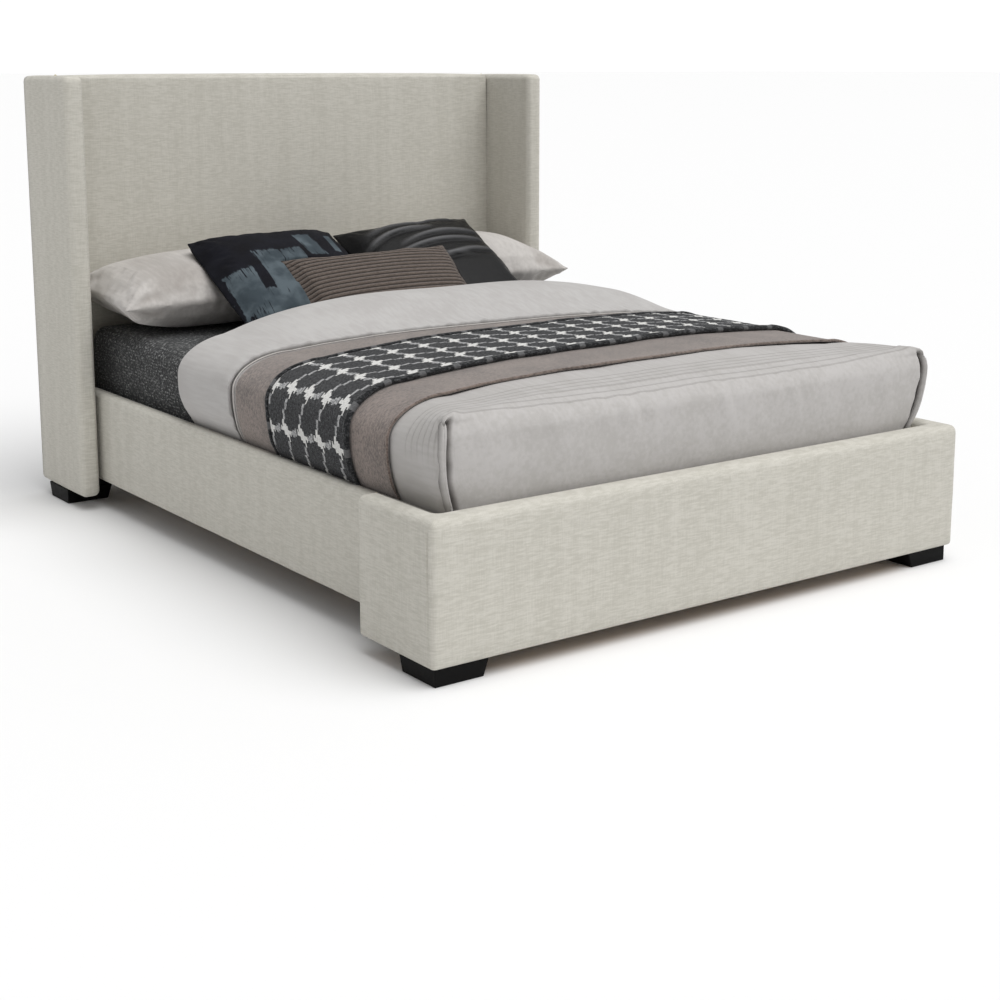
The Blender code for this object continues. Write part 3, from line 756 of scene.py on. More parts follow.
def rounded_outline(corners, radii, inset, step, seams=()):
    """A closed outline moved in by inset, with rounded corners and even points between them.

    Every corner keeps the same number of points at any inset, so loops can be joined up. seams
    says which sides have extra points near one end, for a sewn line there: 0 the start, 1 the end."""
    count = len(corners)
    points = []
    for i in range(count):
        before, here, after = corners[i - 1], corners[i], corners[(i + 1) % count]
        a = (here - before).normalized()
        b = (after - here).normalized()
        turn = a.x * b.y - a.y * b.x
        normal_a = Vector((-a.y, a.x))
        normal_b = Vector((-b.y, b.x))
        shifted = here + (normal_a + normal_b) * inset
        radius = radii[i] - inset if turn > 0 else radii[i] + inset
        radius = max(radius, 0.0005)
        side = 1.0 if turn > 0 else -1.0
        centre = shifted + (normal_a + normal_b) * radius * side
        start = math.atan2(-normal_a.y * side, -normal_a.x * side)
        for k in range(9):
            angle = start + side * (math.pi / 2.0) * k / 8.0
            points.append(centre + Vector((math.cos(angle), math.sin(angle))) * radius)
        following = corners[(i + 1) % count]
        run = max(1, math.ceil((following - here).length / step))
        points.append(("run", run, dict(seams).get(i)))
    filled = []
    total = len(points)
    for i, item in enumerate(points):
        if isinstance(item, tuple):
            a = points[i - 1]
            b = points[(i + 1) % total]
            length = (b - a).length
            shares = [k / item[1] for k in range(1, item[1])]
            if item[2] == 0:
                shares = [d / length for d in SEAM_STOPS] + [t for t in shares if t * length > 0.024]
            elif item[2] == 1:
                shares = [t for t in shares if t * length < length - 0.024]
                shares += [1.0 - d / length for d in reversed(SEAM_STOPS)]
            filled.extend(a.lerp(b, t) for t in shares)
        else:
            filled.append(item)
    return filled


def make_footboard_cover():
    """One cover round the front and both returns, with a soft top and a seam at each corner."""
    low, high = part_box("footboard_cover")
    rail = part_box("side_rail_right_cover")[1].x + 0.0005
    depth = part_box("side_rail_right_cover")[0].y - low.y
    corners = [Vector(p) for p in (
        (high.x, low.y), (high.x, high.y), (rail, high.y), (rail, low.y + depth),
        (-rail, low.y + depth), (-rail, high.y), (low.x, high.y), (low.x, low.y))]
    radii = [0.014, 0.012, 0.008, 0.008, 0.008, 0.008, 0.012, 0.014]
    top_round = 0.022
    bottom_round = 0.010
    levels = []
    for angle in np.linspace(90.0, 0.0, 4):
        a = math.radians(angle)
        levels.append((bottom_round * (1.0 - math.cos(a)), low.z + bottom_round * (1.0 - math.sin(a))))
    for z in np.linspace(low.z + bottom_round, high.z - top_round, 12)[1:-1]:
        levels.append((0.0, z))
    for angle in np.linspace(0.0, 90.0, 7):
        a = math.radians(angle)
        levels.append((top_round * (1.0 - math.cos(a)), high.z - top_round * (1.0 - math.sin(a))))
    verts, faces = [], []
    for inset, z in levels:
        loop = rounded_outline(corners, radii, inset, GRID, ((0, 0), (6, 1)))
        loop_size = len(loop)
        verts.extend((p.x, p.y, z) for p in loop)
    for level in range(len(levels) - 1):
        for i in range(loop_size):
            j = (i + 1) % loop_size
            a, b = level * loop_size, (level + 1) * loop_size
            faces.append((a + i, a + j, b + j, b + i))
    faces.append(tuple((len(levels) - 1) * loop_size + i for i in range(loop_size)))
    piece = make_piece("footboard_linen", verts, faces, LINEN)
    seam = 0.0032
    seam_half = 0.0022
    seam_from_front = radii[0] + 0.0055
    amounts = []
    for vert in piece.data.vertices:
        height = smooth(low.z, low.z + 0.06, vert.co.z) * (1.0 - smooth(high.z - 0.06, high.z, vert.co.z))
        uneven = 0.0007 * waviness(vert.co, 0.14) + 0.0004 * waviness(vert.co, 0.045, 5.0)
        ends = 1.0 - smooth(high.x - 0.05, high.x, abs(vert.co.x))
        front = vert.co.y < low.y + 0.03
        puff = 0.003 * height * ends if front else 0.0
        groove = 0.0
        along = abs(vert.co.y - (low.y + seam_from_front))
        if abs(vert.co.x) > high.x - 0.004 and along < 0.02:
            down = ease(low.z + 0.05, high.z - 0.06, vert.co.z) * 0.75 + 0.25
            down *= 1.0 - ease(high.z - 0.030, high.z - 0.018, vert.co.z)
            groove = seam * math.exp(-(along / seam_half) ** 2) * down
            puff += 0.0015 * math.exp(-((along - 0.006) / 0.004) ** 2) * down
        amounts.append(float(puff + uneven * height) - groove)
    move_along_normals(piece, amounts)
    mesh = bmesh.new()
    mesh.from_mesh(piece.data)
    bmesh.ops.triangulate(mesh, faces=[f for f in mesh.faces if len(f.verts) > 4])
    mesh.to_mesh(piece.data)
    mesh.free()
    piece.data.shade_smooth()
    foam_under(piece, "footboard_cover", 0.003, {(Z, 0)})
    thicken(piece, FABRIC)
    keep(piece, "bed_frame", "linen_upholstery", "footboard_cover")


# ---------------------------------------------------------------- bedding


class Arch:
    """The line that a cloth follows over the bed: up one side, across the top and down."""

    def __init__(self, tuck, top, hem):
        near_x, near_z = self.half(tuck, top, hem, SIDE_RUN, SIDE_DROP, DUVET_BULGE)
        far_x, far_z = self.half(tuck, top, hem, FAR_RUN, FAR_DROP, FAR_BULGE)
        self.xs = np.concatenate([-near_x, far_x[::-1][1:]])
        self.zs = np.concatenate([near_z, far_z[::-1][1:]])
        self.run = np.concatenate([[0.0], np.cumsum(np.hypot(np.diff(self.xs), np.diff(self.zs)))])
        self.length = self.run[-1]
        self.top = top

    def half(self, tuck, top, hem, run, drop, bulge):
        """One side of the line, from the hem up to the middle of the bed."""
        rise = np.linspace(hem, top - drop, 40)
        side = tuck + bulge * self.swell(rise, top)
        angles = np.linspace(0.0, math.pi / 2.0, 30)[1:]
        corner_z = top - drop + drop * np.sin(angles)
        corner_x = tuck - run + run * np.cos(angles) + bulge * self.swell(corner_z, top)
        flat_x = np.linspace(corner_x[-1], 0.0, 60)[1:]
        flat_z = top + CROWN * (1.0 - (flat_x / corner_x[-1]) ** 3)
        return np.concatenate([side, corner_x, flat_x]), np.concatenate([rise, corner_z, flat_z])

    @staticmethod
    def swell(z, top):
        """How much of the side's bulge shows at a height: none at the rail, most half way up."""
        share = np.clip((z - RAIL_TOP) / (top - RAIL_TOP), 0.0, 1.0)
        return np.sin(math.pi * np.clip(share * 0.9, 0.0, 1.0)) ** 0.8

    def at(self, distance, offset=0.0):
        """Points at distances along the line, moved outwards by offset."""
        reach = 0.004
        x = np.interp(distance, self.run, self.xs)
        z = np.interp(distance, self.run, self.zs)
        ahead_x = np.interp(np.minimum(distance + reach, self.length), self.run, self.xs)
        ahead_z = np.interp(np.minimum(distance + reach, self.length), self.run, self.zs)
        back_x = np.interp(np.maximum(distance - reach, 0.0), self.run, self.xs)
        back_z = np.interp(np.maximum(distance - reach, 0.0), self.run, self.zs)
        run = np.hypot(ahead_x - back_x, ahead_z - back_z)
        normal_x = -(ahead_z - back_z) / run
        normal_z = (ahead_x - back_x) / run
        squeeze = 0.55 + 0.45 * smooth(RAIL_TOP, RAIL_TOP + 0.05, z)
        return x + normal_x * offset * squeeze, z + normal_z * offset * squeeze


COVERLET_LOW, COVERLET_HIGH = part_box("coverlet")
DUVET_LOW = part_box("duvet")[0]
HEM = DUVET_LOW.z
DUVET_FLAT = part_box("taupe_blanket")[1].z - BLANKET_OVER
DUVET_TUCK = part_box("taupe_blanket")[1].x - BLANKET_OVER
DUVET_ARCH = Arch(DUVET_TUCK, DUVET_FLAT - DUVET_CLOTH, HEM)


def make_coverlet():
    """A knitted coverlet drawn over the whole mattress."""
    open_faces = {(Z, 0)}
    low, high = COVERLET_LOW, COVERLET_HIGH
    radius = 0.050
    stops = box_stops(low, high, radius, open_faces)
    points, faces = shell_grid(stops, open_faces)
    points = round_off(points, low, high, 0.0433, open_faces)
    piece = make_piece("coverlet_knit", points, faces, KNIT)
    amounts = []
    for vert in piece.data.vertices:
        above = ease(RAIL_TOP, RAIL_TOP + 0.06, vert.co.z)
        amounts.append(above * (0.0025 + 0.002 * waviness(vert.co, 0.12, 7.0)))
    move_along_normals(piece, amounts)
    thicken(piece, 0.0028)
    keep(piece, "made_mattress", "charcoal_knit", "coverlet")


def mitre(x, z, from_corner, top):
    """The folded corner at the foot: how far its cloth stands out, and how much of a gap is there."""
    low_share = ease(0.10, 0.25, top - z)
    middle = 0.0165 + 0.0040 * ripple(4.0, z * 26.0, x) + 0.03 * (top - 0.1 - z) ** 2
    tall = float(smooth(RAIL_TOP - 0.02, RAIL_TOP + 0.02, z) * (1.0 - smooth(top - 0.018, top - 0.006, z)))
    gap = tall * math.exp(-((from_corner - middle) / (0.0078 + 0.0034 * low_share)) ** 4)
    hollow = -0.016 * math.exp(-max(from_corner - middle, 0.0) / 0.035) * tall
    lip = 0.004 * math.exp(-((from_corner - 0.004) / 0.006) ** 2) * tall
    peak = math.hypot(from_corner - 0.018, z - (top - 0.010))
    return hollow + lip + 0.009 * math.exp(-(peak / 0.016) ** 2), gap


def quarter(height, top, run, drop):
    """How far an elliptical edge is drawn in at a height: nothing below it, the whole run at the top."""
    share = np.clip((height - (top - drop)) / drop, 0.0, 1.0)
    return run * (1.0 - np.sqrt(np.maximum(1.0 - share ** 2, 0.0)))


def make_duvet():
    """The duvet's long part: over the top, down both sides and down behind the footboard."""
    open_faces = {(Z, 0), (Y, 1)}
    low = Vector((-DUVET_TUCK, DUVET_LOW.y, HEM))
    high = Vector((DUVET_TUCK, FOOT_FRONT + HEAD_OF_DUVET, DUVET_FLAT - DUVET_CLOTH))
    corner = 0.008
    length = high.y - low.y
    near_ends = [s * (high.x - 0.009 - 0.0018 * k) for k in range(14) for s in (-1, 1)]
    near_ends += [s * (high.x - 0.036 - 0.005 * k) for k in range(8) for s in (-1, 1)]
    rise = [high.z - SIDE_DROP * (1.0 - math.sin(a)) for a in np.linspace(0.0, math.pi / 2.0, 14)[:-1]]
    rise += [high.z - FOOT_DROP * (1.0 - math.sin(a)) for a in np.linspace(0.0, math.pi / 2.0, 12)[:-1]]
    stops = [
        stops_along(low.x, high.x, corner, 0.0095, extra=near_ends),
        stops_along(low.y, high.y, corner, 0.012, round_high=False),
        stops_along(low.z, high.z, 0.002, 0.010, round_low=False, extra=rise),
    ]
    points, faces = shell_grid(stops, open_faces)
    places = points.copy()
    points = round_off(points, low, high, corner, open_faces)
    heights = places[:, Z]
    rounded = smooth(0.0, MITRE_REACH, places[:, Y] - low.y) ** 0.6
    far = places[:, X] > 0.0
    far_side = quarter(heights, high.z, FAR_RUN, FAR_DROP)
    near_side = quarter(heights, high.z, SIDE_RUN, SIDE_DROP)
    wide = np.where(far, far_side, near_side)
    tight = quarter(heights, high.z, MITRE_RUN, MITRE_DROP)
    side_drawn = tight + (wide - tight) * rounded
    inward = smooth(0.0, 0.34, high.x - np.abs(places[:, X]))
    foot_drawn = quarter(heights, high.z, FOOT_RUN, FOOT_DROP)
    foot_drawn *= 0.45 + 0.55 * inward
    points[:, Z] = np.maximum(points[:, Z], np.minimum(heights, high.z))
    points[:, X] *= (high.x - side_drawn) / high.x
    points[:, Y] = high.y - (high.y - points[:, Y]) * (length - foot_drawn) / length
    side_share = smooth(0.86, 1.0, np.abs(places[:, X]) / high.x)
    foot_share = 1.0 - smooth(low.y, low.y + 0.10, places[:, Y])
    swell = Arch.swell(points[:, Z], high.z)
    points[:, X] += np.where(far, FAR_BULGE, -DUVET_BULGE) * side_share * swell
    points[:, Y] -= foot_share * swell * FOOT_BULGE
    ear = smooth(high.z - 0.13, high.z - 0.01, heights) * (1.0 - smooth(0.02, 0.22, places[:, Y] - low.y))
    points[:, X] += np.where(far, 0.030, 0.004) * np.sign(points[:, X]) * side_share * ear
    edge = high.x - np.where(far, FAR_RUN, SIDE_RUN)
    crown = np.clip(1.0 - (np.abs(points[:, X]) / edge) ** 3, 0.0, 1.0) * CROWN
    crown *= smooth(-0.05, 0.27, points[:, Y] - low.y)
    points[:, Z] += np.where(heights > high.z - 1e-5, crown, 0.0)
    piece = make_piece("duvet_cloth", points, faces, DUVET_COTTON)

    amounts = []
    gaps = [0.0] * len(places)
    for vert, place in zip(piece.data.vertices, places):
        x, y, z = place
        from_corner = high.x - abs(x)
        above = ease(RAIL_TOP, RAIL_TOP + 0.05, z)
        covered = ease(0.24, 0.30, y - FOOT_FRONT)
        soft = 0.0035 * waviness(vert.co, 0.30, 1.0) + 0.0012 * waviness(vert.co, 0.07, 2.0)
        amount = soft * above * (1.0 - covered) - 0.004 * covered
        if y < low.y + 0.03:
            streak = ripple(x * 26.0 + z * 6.0, z * 5.0, 0.0)
            gather = float(smooth(high.z - 0.16, high.z - 0.05, z)
                           * (1.0 - smooth(high.z - 0.022, high.z, z)))
            amount += 0.0050 * streak * gather * above
            stand, gaps[vert.index] = mitre(x, z, from_corner, high.z)
            amount += stand
        elif abs(x) > high.x - 0.01:
            away = (z - (high.z - 0.125 - 0.03 * (y - low.y))) / 0.0025
            near_foot = 1.0 - ease(low.y + 0.10, low.y + 0.22, y)
            amount -= 0.0012 * math.exp(-away * away) * near_foot
            amount += 0.004 * math.exp(-((y - low.y) / 0.02) ** 2) * above
        amounts.append(amount)
    move_along_normals(piece, amounts)
    moved = vertex_places(piece.data)
    moved[:, Y] += GAP_DEPTH * np.array(gaps)
    put_vertices(piece.data, moved)
    # the gap is also kept for the painted shade that the cotton puts in it
    mark_vertices(piece, "gap", gaps)
    thicken(piece, DUVET_CLOTH, even=False)
    keep(piece, "made_mattress", "duvet_cotton", "duvet")


def fold_height(x):
    """How thick the folded-back duvet lies at a place across the bed: fullest right of the middle."""
    share = min(abs(x - FOLD_PEAK) / FOLD_HALF, 1.0)
    return FOLD_TOP * (1.0 - share ** 3.2)


def make_duvet_fold():
    """The head end of the duvet, folded back on itself: thick at the head, puckered at its hem."""
    arch = DUVET_ARCH
    across = 260
    outer_steps = 30
    turn_steps = 12
    verts = []
    for i in range(across + 1):
        distance = arch.length * i / across
        x0, z0 = arch.at(distance)
        top_share = ease(arch.top - SIDE_DROP, arch.top - 0.005, z0)
        rail_share = ease(RAIL_TOP - 0.01, RAIL_TOP + 0.10, z0)
        thick = max(FOLD_SIDE * rail_share + 0.003, fold_height(float(x0)) * top_share)
        under = 0.009 * (1.0 - top_share) + (arch.top - COVERLET_HIGH.z - 0.008) * top_share
        sway = 0.010 * ripple(distance * 3.0, 1.0, 2.0)
        head = FOLD_HEAD + sway
        foot = cross_line(FOLD_FOOT, FOLD_SKEW, float(x0)) + 0.5 * sway
        profile = []
        for k in range(outer_steps + 1):
            v = k / outer_steps
            y = foot + (head - foot) * v
            hem = 0.18 + 0.45 * math.exp(-((float(x0) + 0.70) / 0.13) ** 2)
            rise = hem + (1.0 - hem) * ease(0.0, 0.85, v) ** 0.8
            pucker = 0.0
            if v < 0.30:
                fold = ripple(distance * 42.0, v * 3.0, 5.0)
                pucker = 0.0120 * fold * (1.0 - v / 0.30) * (0.6 + 0.4 * (1.0 - abs(2.0 * top_share - 1.0)))
            soft = 0.0035 * ripple(distance * 3.2, y * 4.0, 9.0)
            profile.append((y, thick * rise + pucker + soft * rail_share))
        middle = (profile[-1][1] - under) / 2.0
        radius = (profile[-1][1] + under) / 2.0
        for k in range(1, turn_steps + 1):
            angle = math.pi * k / turn_steps
            reach = min(radius, 0.050)
            profile.append((head + reach * math.sin(angle), middle + radius * math.cos(angle)))
        for k in range(1, 6):
            y = head - 0.001 - (head - foot - 0.004) * k / 5.0
            profile.append((y, 0.0008))
        for y, offset in profile:
            x, z = arch.at(distance, offset)
            verts.append((float(x), FOOT_FRONT + y, float(z)))
    size = outer_steps + 1 + turn_steps + 5
    piece = make_piece("duvet_fold_back", verts, ring_faces(across, size), FOLD_COTTON)
    face_outwards(piece)
    keep(piece, "made_mattress", "duvet_cotton")


def cross_line(middle, skew, x):
    """Where an edge that runs across the bed is, at a place across the bed."""
    return middle + skew * x / DUVET_TUCK


def cross_cloth(name, material, edges, offset, thickness, edge_sway, across, along, relief):
    """A cloth laid across the bed over the duvet and tucked down inside both rails."""
    arch = DUVET_ARCH
    verts, faces, uvs = [], [], []
    for i in range(across + 1):
        distance = arch.length * i / across
        x0, z0 = arch.at(distance)
        foot, head = [cross_line(*edge, float(x0)) for edge in edges]
        centre = (foot + head) / 2.0
        half = (head - foot) / 2.0
        for k in range(along + 1):
            v = 2.0 * k / along - 1.0
            sway = edge_sway * ripple(distance * 7.0, v * 0.6, offset * 90.0)
            y = centre + v * half + sway * abs(v)
            lift = offset + thickness + relief(distance, y, abs(v))
            x, z = arch.at(distance, lift)
            verts.append((float(x), FOOT_FRONT + y, float(z)))
            uvs.append((distance, (v + 1.0) * half))
    for i in range(across):
        for k in range(along):
            a = i * (along + 1) + k
            b = a + along + 1
            faces.append((a, b, b + 1, a + 1))
    piece = make_piece(name, verts, faces, material, uvs)
    mesh = bmesh.new()
    mesh.from_mesh(piece.data)
    mesh.normal_update()
    highest = max(mesh.faces, key=lambda f: f.calc_center_median().z)
    if highest.normal.z < 0.0:
        bmesh.ops.reverse_faces(mesh, faces=mesh.faces[:])
    mesh.to_mesh(piece.data)
    mesh.free()
    thicken(piece, thickness)
    return piece


def edge_roll(name, material, edge, end, offset, radius, edge_sway, body_slot, squash=1.0):
    """A piping or rolled edge that follows one edge of a cross cloth."""
    arch = DUVET_ARCH
    count = 320
    sides = 10
    verts, uvs = [], []
    for i in range(count + 1):
        distance = arch.length * (0.002 + 0.996 * i / count)
        x0, z0 = arch.at(distance)
        sway = edge_sway * ripple(distance * 7.0, end * 0.6, offset * 90.0)
        y = cross_line(*edge, float(x0)) + sway
        swell = 1.0 + 0.12 * ripple(distance * 30.0, 2.0, 4.0)
        for k in range(sides):
            angle = math.tau * k / sides
            rise = radius * swell * squash * (1.0 + math.sin(angle)) + 0.0004
            x, z = arch.at(distance, offset + rise)
            verts.append((float(x), FOOT_FRONT + y + radius * swell * math.cos(angle), float(z)))
            uvs.append((distance, 0.0))
    piece = make_piece(name, verts, ring_faces(count, sides, flip=True), material, uvs)
    face_outwards(piece)
    keep(piece, "made_mattress", body_slot)


def make_blanket_and_throw():
    def felt_relief(distance, y, edge):
        return 0.0008 * ripple(distance * 9.0, y * 9.0, 3.0)

    blanket = cross_cloth("taupe_blanket_cloth", FELT, (BLANKET_FOOT, BLANKET_HEAD), 0.0016,
                           0.0024, 0.006, 300, 60, felt_relief)
    keep(blanket, "made_mattress", "taupe_felt", "taupe_blanket")
    edge_roll("blanket_piping", PILLOW_COTTON, BLANKET_HEAD, 1.0, 0.0030,
              0.0024, 0.006, "duvet_cotton")
    edge_roll("blanket_bound_edge", FELT, BLANKET_FOOT, -1.0, 0.0004,
              0.0040, 0.006, "taupe_felt")

    def knit_relief(distance, y, edge):
        loops = 0.0011 * ripple(distance * 70.0, y * 70.0, 1.0)
        roll = -0.003 * ease(0.93, 1.0, edge)
        return loops + roll + 0.0012 * ripple(distance * 16.0, y * 16.0, 6.0)

    throw = cross_cloth("throw_cloth", THROW_KNIT, (THROW_FOOT, THROW_HEAD), 0.0048,
                        0.0055, 0.012, 430, 84, knit_relief)
    keep(throw, "made_mattress", "throw_wool", "throw")
    edge_roll("throw_rolled_edge", DARK_WOOL, THROW_FOOT, -1.0, 0.0045,
              0.0105, 0.012, "throw_wool", 0.72)
    edge_roll("throw_head_edge", DARK_WOOL, THROW_HEAD, 1.0, 0.0046,
              0.0060, 0.012, "throw_wool", 0.8)


# ---------------------------------------------------------------- pillows and cushions


def flat_case(name, width, depth, thickness, pull):
    """Two cloths sewn round the edge: a thin pillow form, drawn in a little between its corners."""
    mesh = bmesh.new()
    bmesh.ops.create_cube(mesh, size=2.0)
    bmesh.ops.subdivide_edges(mesh, edges=mesh.edges[:], cuts=19, use_grid_fill=True)
    for vert in mesh.verts:
        u, v, w = vert.co
        crown = 0.05 + 0.95 * (max(1.0 - u ** 2, 0.0) * max(1.0 - v ** 2, 0.0)) ** 0.36
        x = u * (1.0 - pull * (1.0 - v * v)) * width / 2.0
        y = v * (1.0 - pull * (1.0 - u * u)) * depth / 2.0
        x += 0.006 * u * ripple(v * 3.0, width * 9.0, u)
        y += 0.006 * v * ripple(u * 3.0, width * 7.0, v)
        vert.co = (x, y, w * crown * thickness / 2.0)
    data = bpy.data.meshes.new(name)
    mesh.to_mesh(data)
    mesh.free()
    return new_object(name, data)


def apply_modifiers(piece):
    evaluated = piece.evaluated_get(bpy.context.evaluated_depsgraph_get())
    mesh = bpy.data.meshes.new_from_object(evaluated)
    piece.modifiers.clear()
    old = piece.data
    piece.data = mesh
    bpy.data.meshes.remove(old)


def inflate(piece, voxel, pressure, cap):
    """Fill the case: a short cloth simulation under inside pressure, with a limit on its travel."""
    remesh = piece.modifiers.new("remesh", "REMESH")
    remesh.mode = "VOXEL"
    remesh.voxel_size = voxel
    apply_modifiers(piece)
    start = np.array([v.co for v in piece.data.vertices])
    cloth = piece.modifiers.new("cloth", "CLOTH")
    cloth.settings.quality = 5
    cloth.settings.mass = 0.25
    cloth.settings.tension_stiffness = 18.0
    cloth.settings.compression_stiffness = 18.0
    cloth.settings.shear_stiffness = 6.0
    cloth.settings.bending_stiffness = 0.35
    cloth.settings.use_pressure = True
    cloth.settings.uniform_pressure_force = pressure
    cloth.settings.effector_weights.gravity = 0.0
    cloth.collision_settings.use_collision = False
    scene = bpy.context.scene
    scene.frame_start = 1
    scene.frame_end = CLOTH_FRAMES
    for number in range(1, CLOTH_FRAMES + 1):
        scene.frame_set(number)
    apply_modifiers(piece)
    scene.frame_set(1)
    now = np.array([v.co for v in piece.data.vertices])
    move = now - start
    length = np.linalg.norm(move, axis=1)
    length[length == 0.0] = 1.0
    fullness = np.abs(start[:, Z]) / np.abs(start[:, Z]).max()
    limited = start + move * np.minimum(1.0, cap * (0.15 + 0.85 * fullness) / length)[:, None]
    piece.data.vertices.foreach_set("co", limited.astype(np.float32).ravel())
    piece.data.update()


def press_against(piece, others, clearance):
    """Dent a soft piece where a cushion leans on it, straight back along the cushion's own depth."""
    bpy.context.view_layer.update()
    graph = bpy.context.evaluated_depsgraph_get()
    to_world = piece.matrix_world
    to_local = to_world.inverted()
    for other in others:
        tree = BVHTree.FromObject(other, graph)
        other_world = other.matrix_world
        other_local = other_world.inverted()
        for vert in piece.data.vertices:
            point = other_local @ (to_world @ vert.co)
            start = Vector((point.x, point.y, -0.5))
            place, _, _, _ = tree.ray_cast(start, Vector((0.0, 0.0, 1.0)))
            if place is not None and point.z > place.z - clearance:
                vert.co = to_local @ (other_world @ Vector((point.x, point.y, place.z - clearance)))
    piece.data.update()


def rest_on_planes(piece, lowest, furthest):
    """Flatten a soft piece where it lies on the mattress and where it meets the headboard."""
    to_world = piece.matrix_world
    to_local = to_world.inverted()
    for vert in piece.data.vertices:
        point = to_world @ vert.co
        point.z = max(point.z, lowest)
        point.y = min(point.y, furthest)
        vert.co = to_local @ point
    piece.data.update()


def place_piece(piece, node, lift=(0.0, 0.0, 0.0), tilt=0.0, turn=0.0, roll=0.0):
    low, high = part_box(node)
    piece.location = (low + high) / 2.0 + Vector(lift)
    piece.rotation_euler = (math.radians(tilt), math.radians(roll), math.radians(turn))
    bpy.context.view_layer.update()


def wrinkle(piece, function, shade_depth=0.0):
    """Crease a piece, and mark how deep each dip is against shade_depth, for the painted shade that the
    cotton puts in its dips.
    """
    amounts = [function(vert.co) for vert in piece.data.vertices]
    move_along_normals(piece, amounts)
    if shade_depth:
        mark_vertices(piece, "dip", [-amount / shade_depth for amount in amounts])


def corner_creases(width, depth, height):
    """Creases that run in from the corners of a filled case, and short gathers along its seams."""
    def crease(point):
        u = abs(point.x) / (width / 2.0)
        v = abs(point.y) / (depth / 2.0)
        angle = math.atan2((1.0 - v) * depth, max((1.0 - u) * width, 1e-4))
        near = math.exp(-(((1.0 - u) * width) ** 2 + ((1.0 - v) * depth) ** 2) / 0.045)
        fan = ripple(angle * 5.5, point.x * 2.0 + point.z * 5.0, point.y * 2.0)
        sharp = ripple(angle * 7.0, point.x * 2.5, point.y * 2.5 + 8.0)
        line = max(0.0, 1.0 - abs(sharp) / 0.16)
        edge = max(u, v)
        gather = ripple(point.x * 34.0, point.y * 34.0, 2.0)
        soft = ripple(point.x * 6.0, point.y * 6.0, point.z * 6.0 + 4.0)
        seam = 1.0 - ease(0.90, 1.0, edge)
        inner = near * (0.9 * fan - 0.35 * line)
        return height * seam * (inner + 0.40 * gather * ease(0.66, 0.92, edge) + 0.6 * soft)
    return crease


# the satin's sweeping creases: start and end across, height at the start, rise, bow, depth
SWEEPS = (
    (-0.20, 0.18, 0.160, 0.030, 0.030, 0.0080), (-0.23, 0.06, 0.095, 0.060, 0.028, 0.0090),
    (-0.12, 0.23, 0.075, 0.030, 0.030, 0.0080), (-0.20, 0.22, 0.015, 0.045, 0.032, 0.0085),
    (-0.02, 0.24, -0.030, 0.030, 0.022, 0.0070), (-0.22, 0.14, -0.070, 0.055, 0.030, 0.0075),
)


def satin_crest(point):
    """How much of a sweeping crease is at a place: 1 on its crest, below 0 in the dip beside it."""
    total = 0.0
    for start, end, height, rise, bow, depth in SWEEPS:
        share = (point.x - start) / (end - start)
        if not 0.0 < share < 1.0:
            continue
        line = height + rise * share + bow * math.sin(math.pi * share)
        away = (point.y - line) / 0.010
        fade = math.sin(math.pi * share) ** 0.7 * depth / 0.008
        total += fade * (math.exp(-away * away) - 0.5 * math.exp(-((away + 1.6) ** 2)))
    return total


def fold_satin(piece):
    """Raise the satin's sweeping creases and mark their crests, where the cloth catches the light; the
    material paints a highlight there.
    """
    crests = [satin_crest(v.co) if v.co.z > 0.0 else 0.0 for v in piece.data.vertices]
    mark_vertices(piece, "crest", crests)
    move_along_normals(piece, [0.008 * crest for crest in crests])


def subdivide_once(piece):
    soft = piece.modifiers.new("softness", "SUBSURF")
    soft.levels = 1
    soft.render_levels = 1


# how each sleeping pillow lies, from its place in the frame: shift, and tilt, turn and roll in degrees
PILLOW_PLACES = {
    "left": ((-0.004, 0.015, 0.014), 3.0, -2.0, -2.0),
    "right": ((0.036, 0.015, 0.018), 4.0, 2.0, 0.0),
}


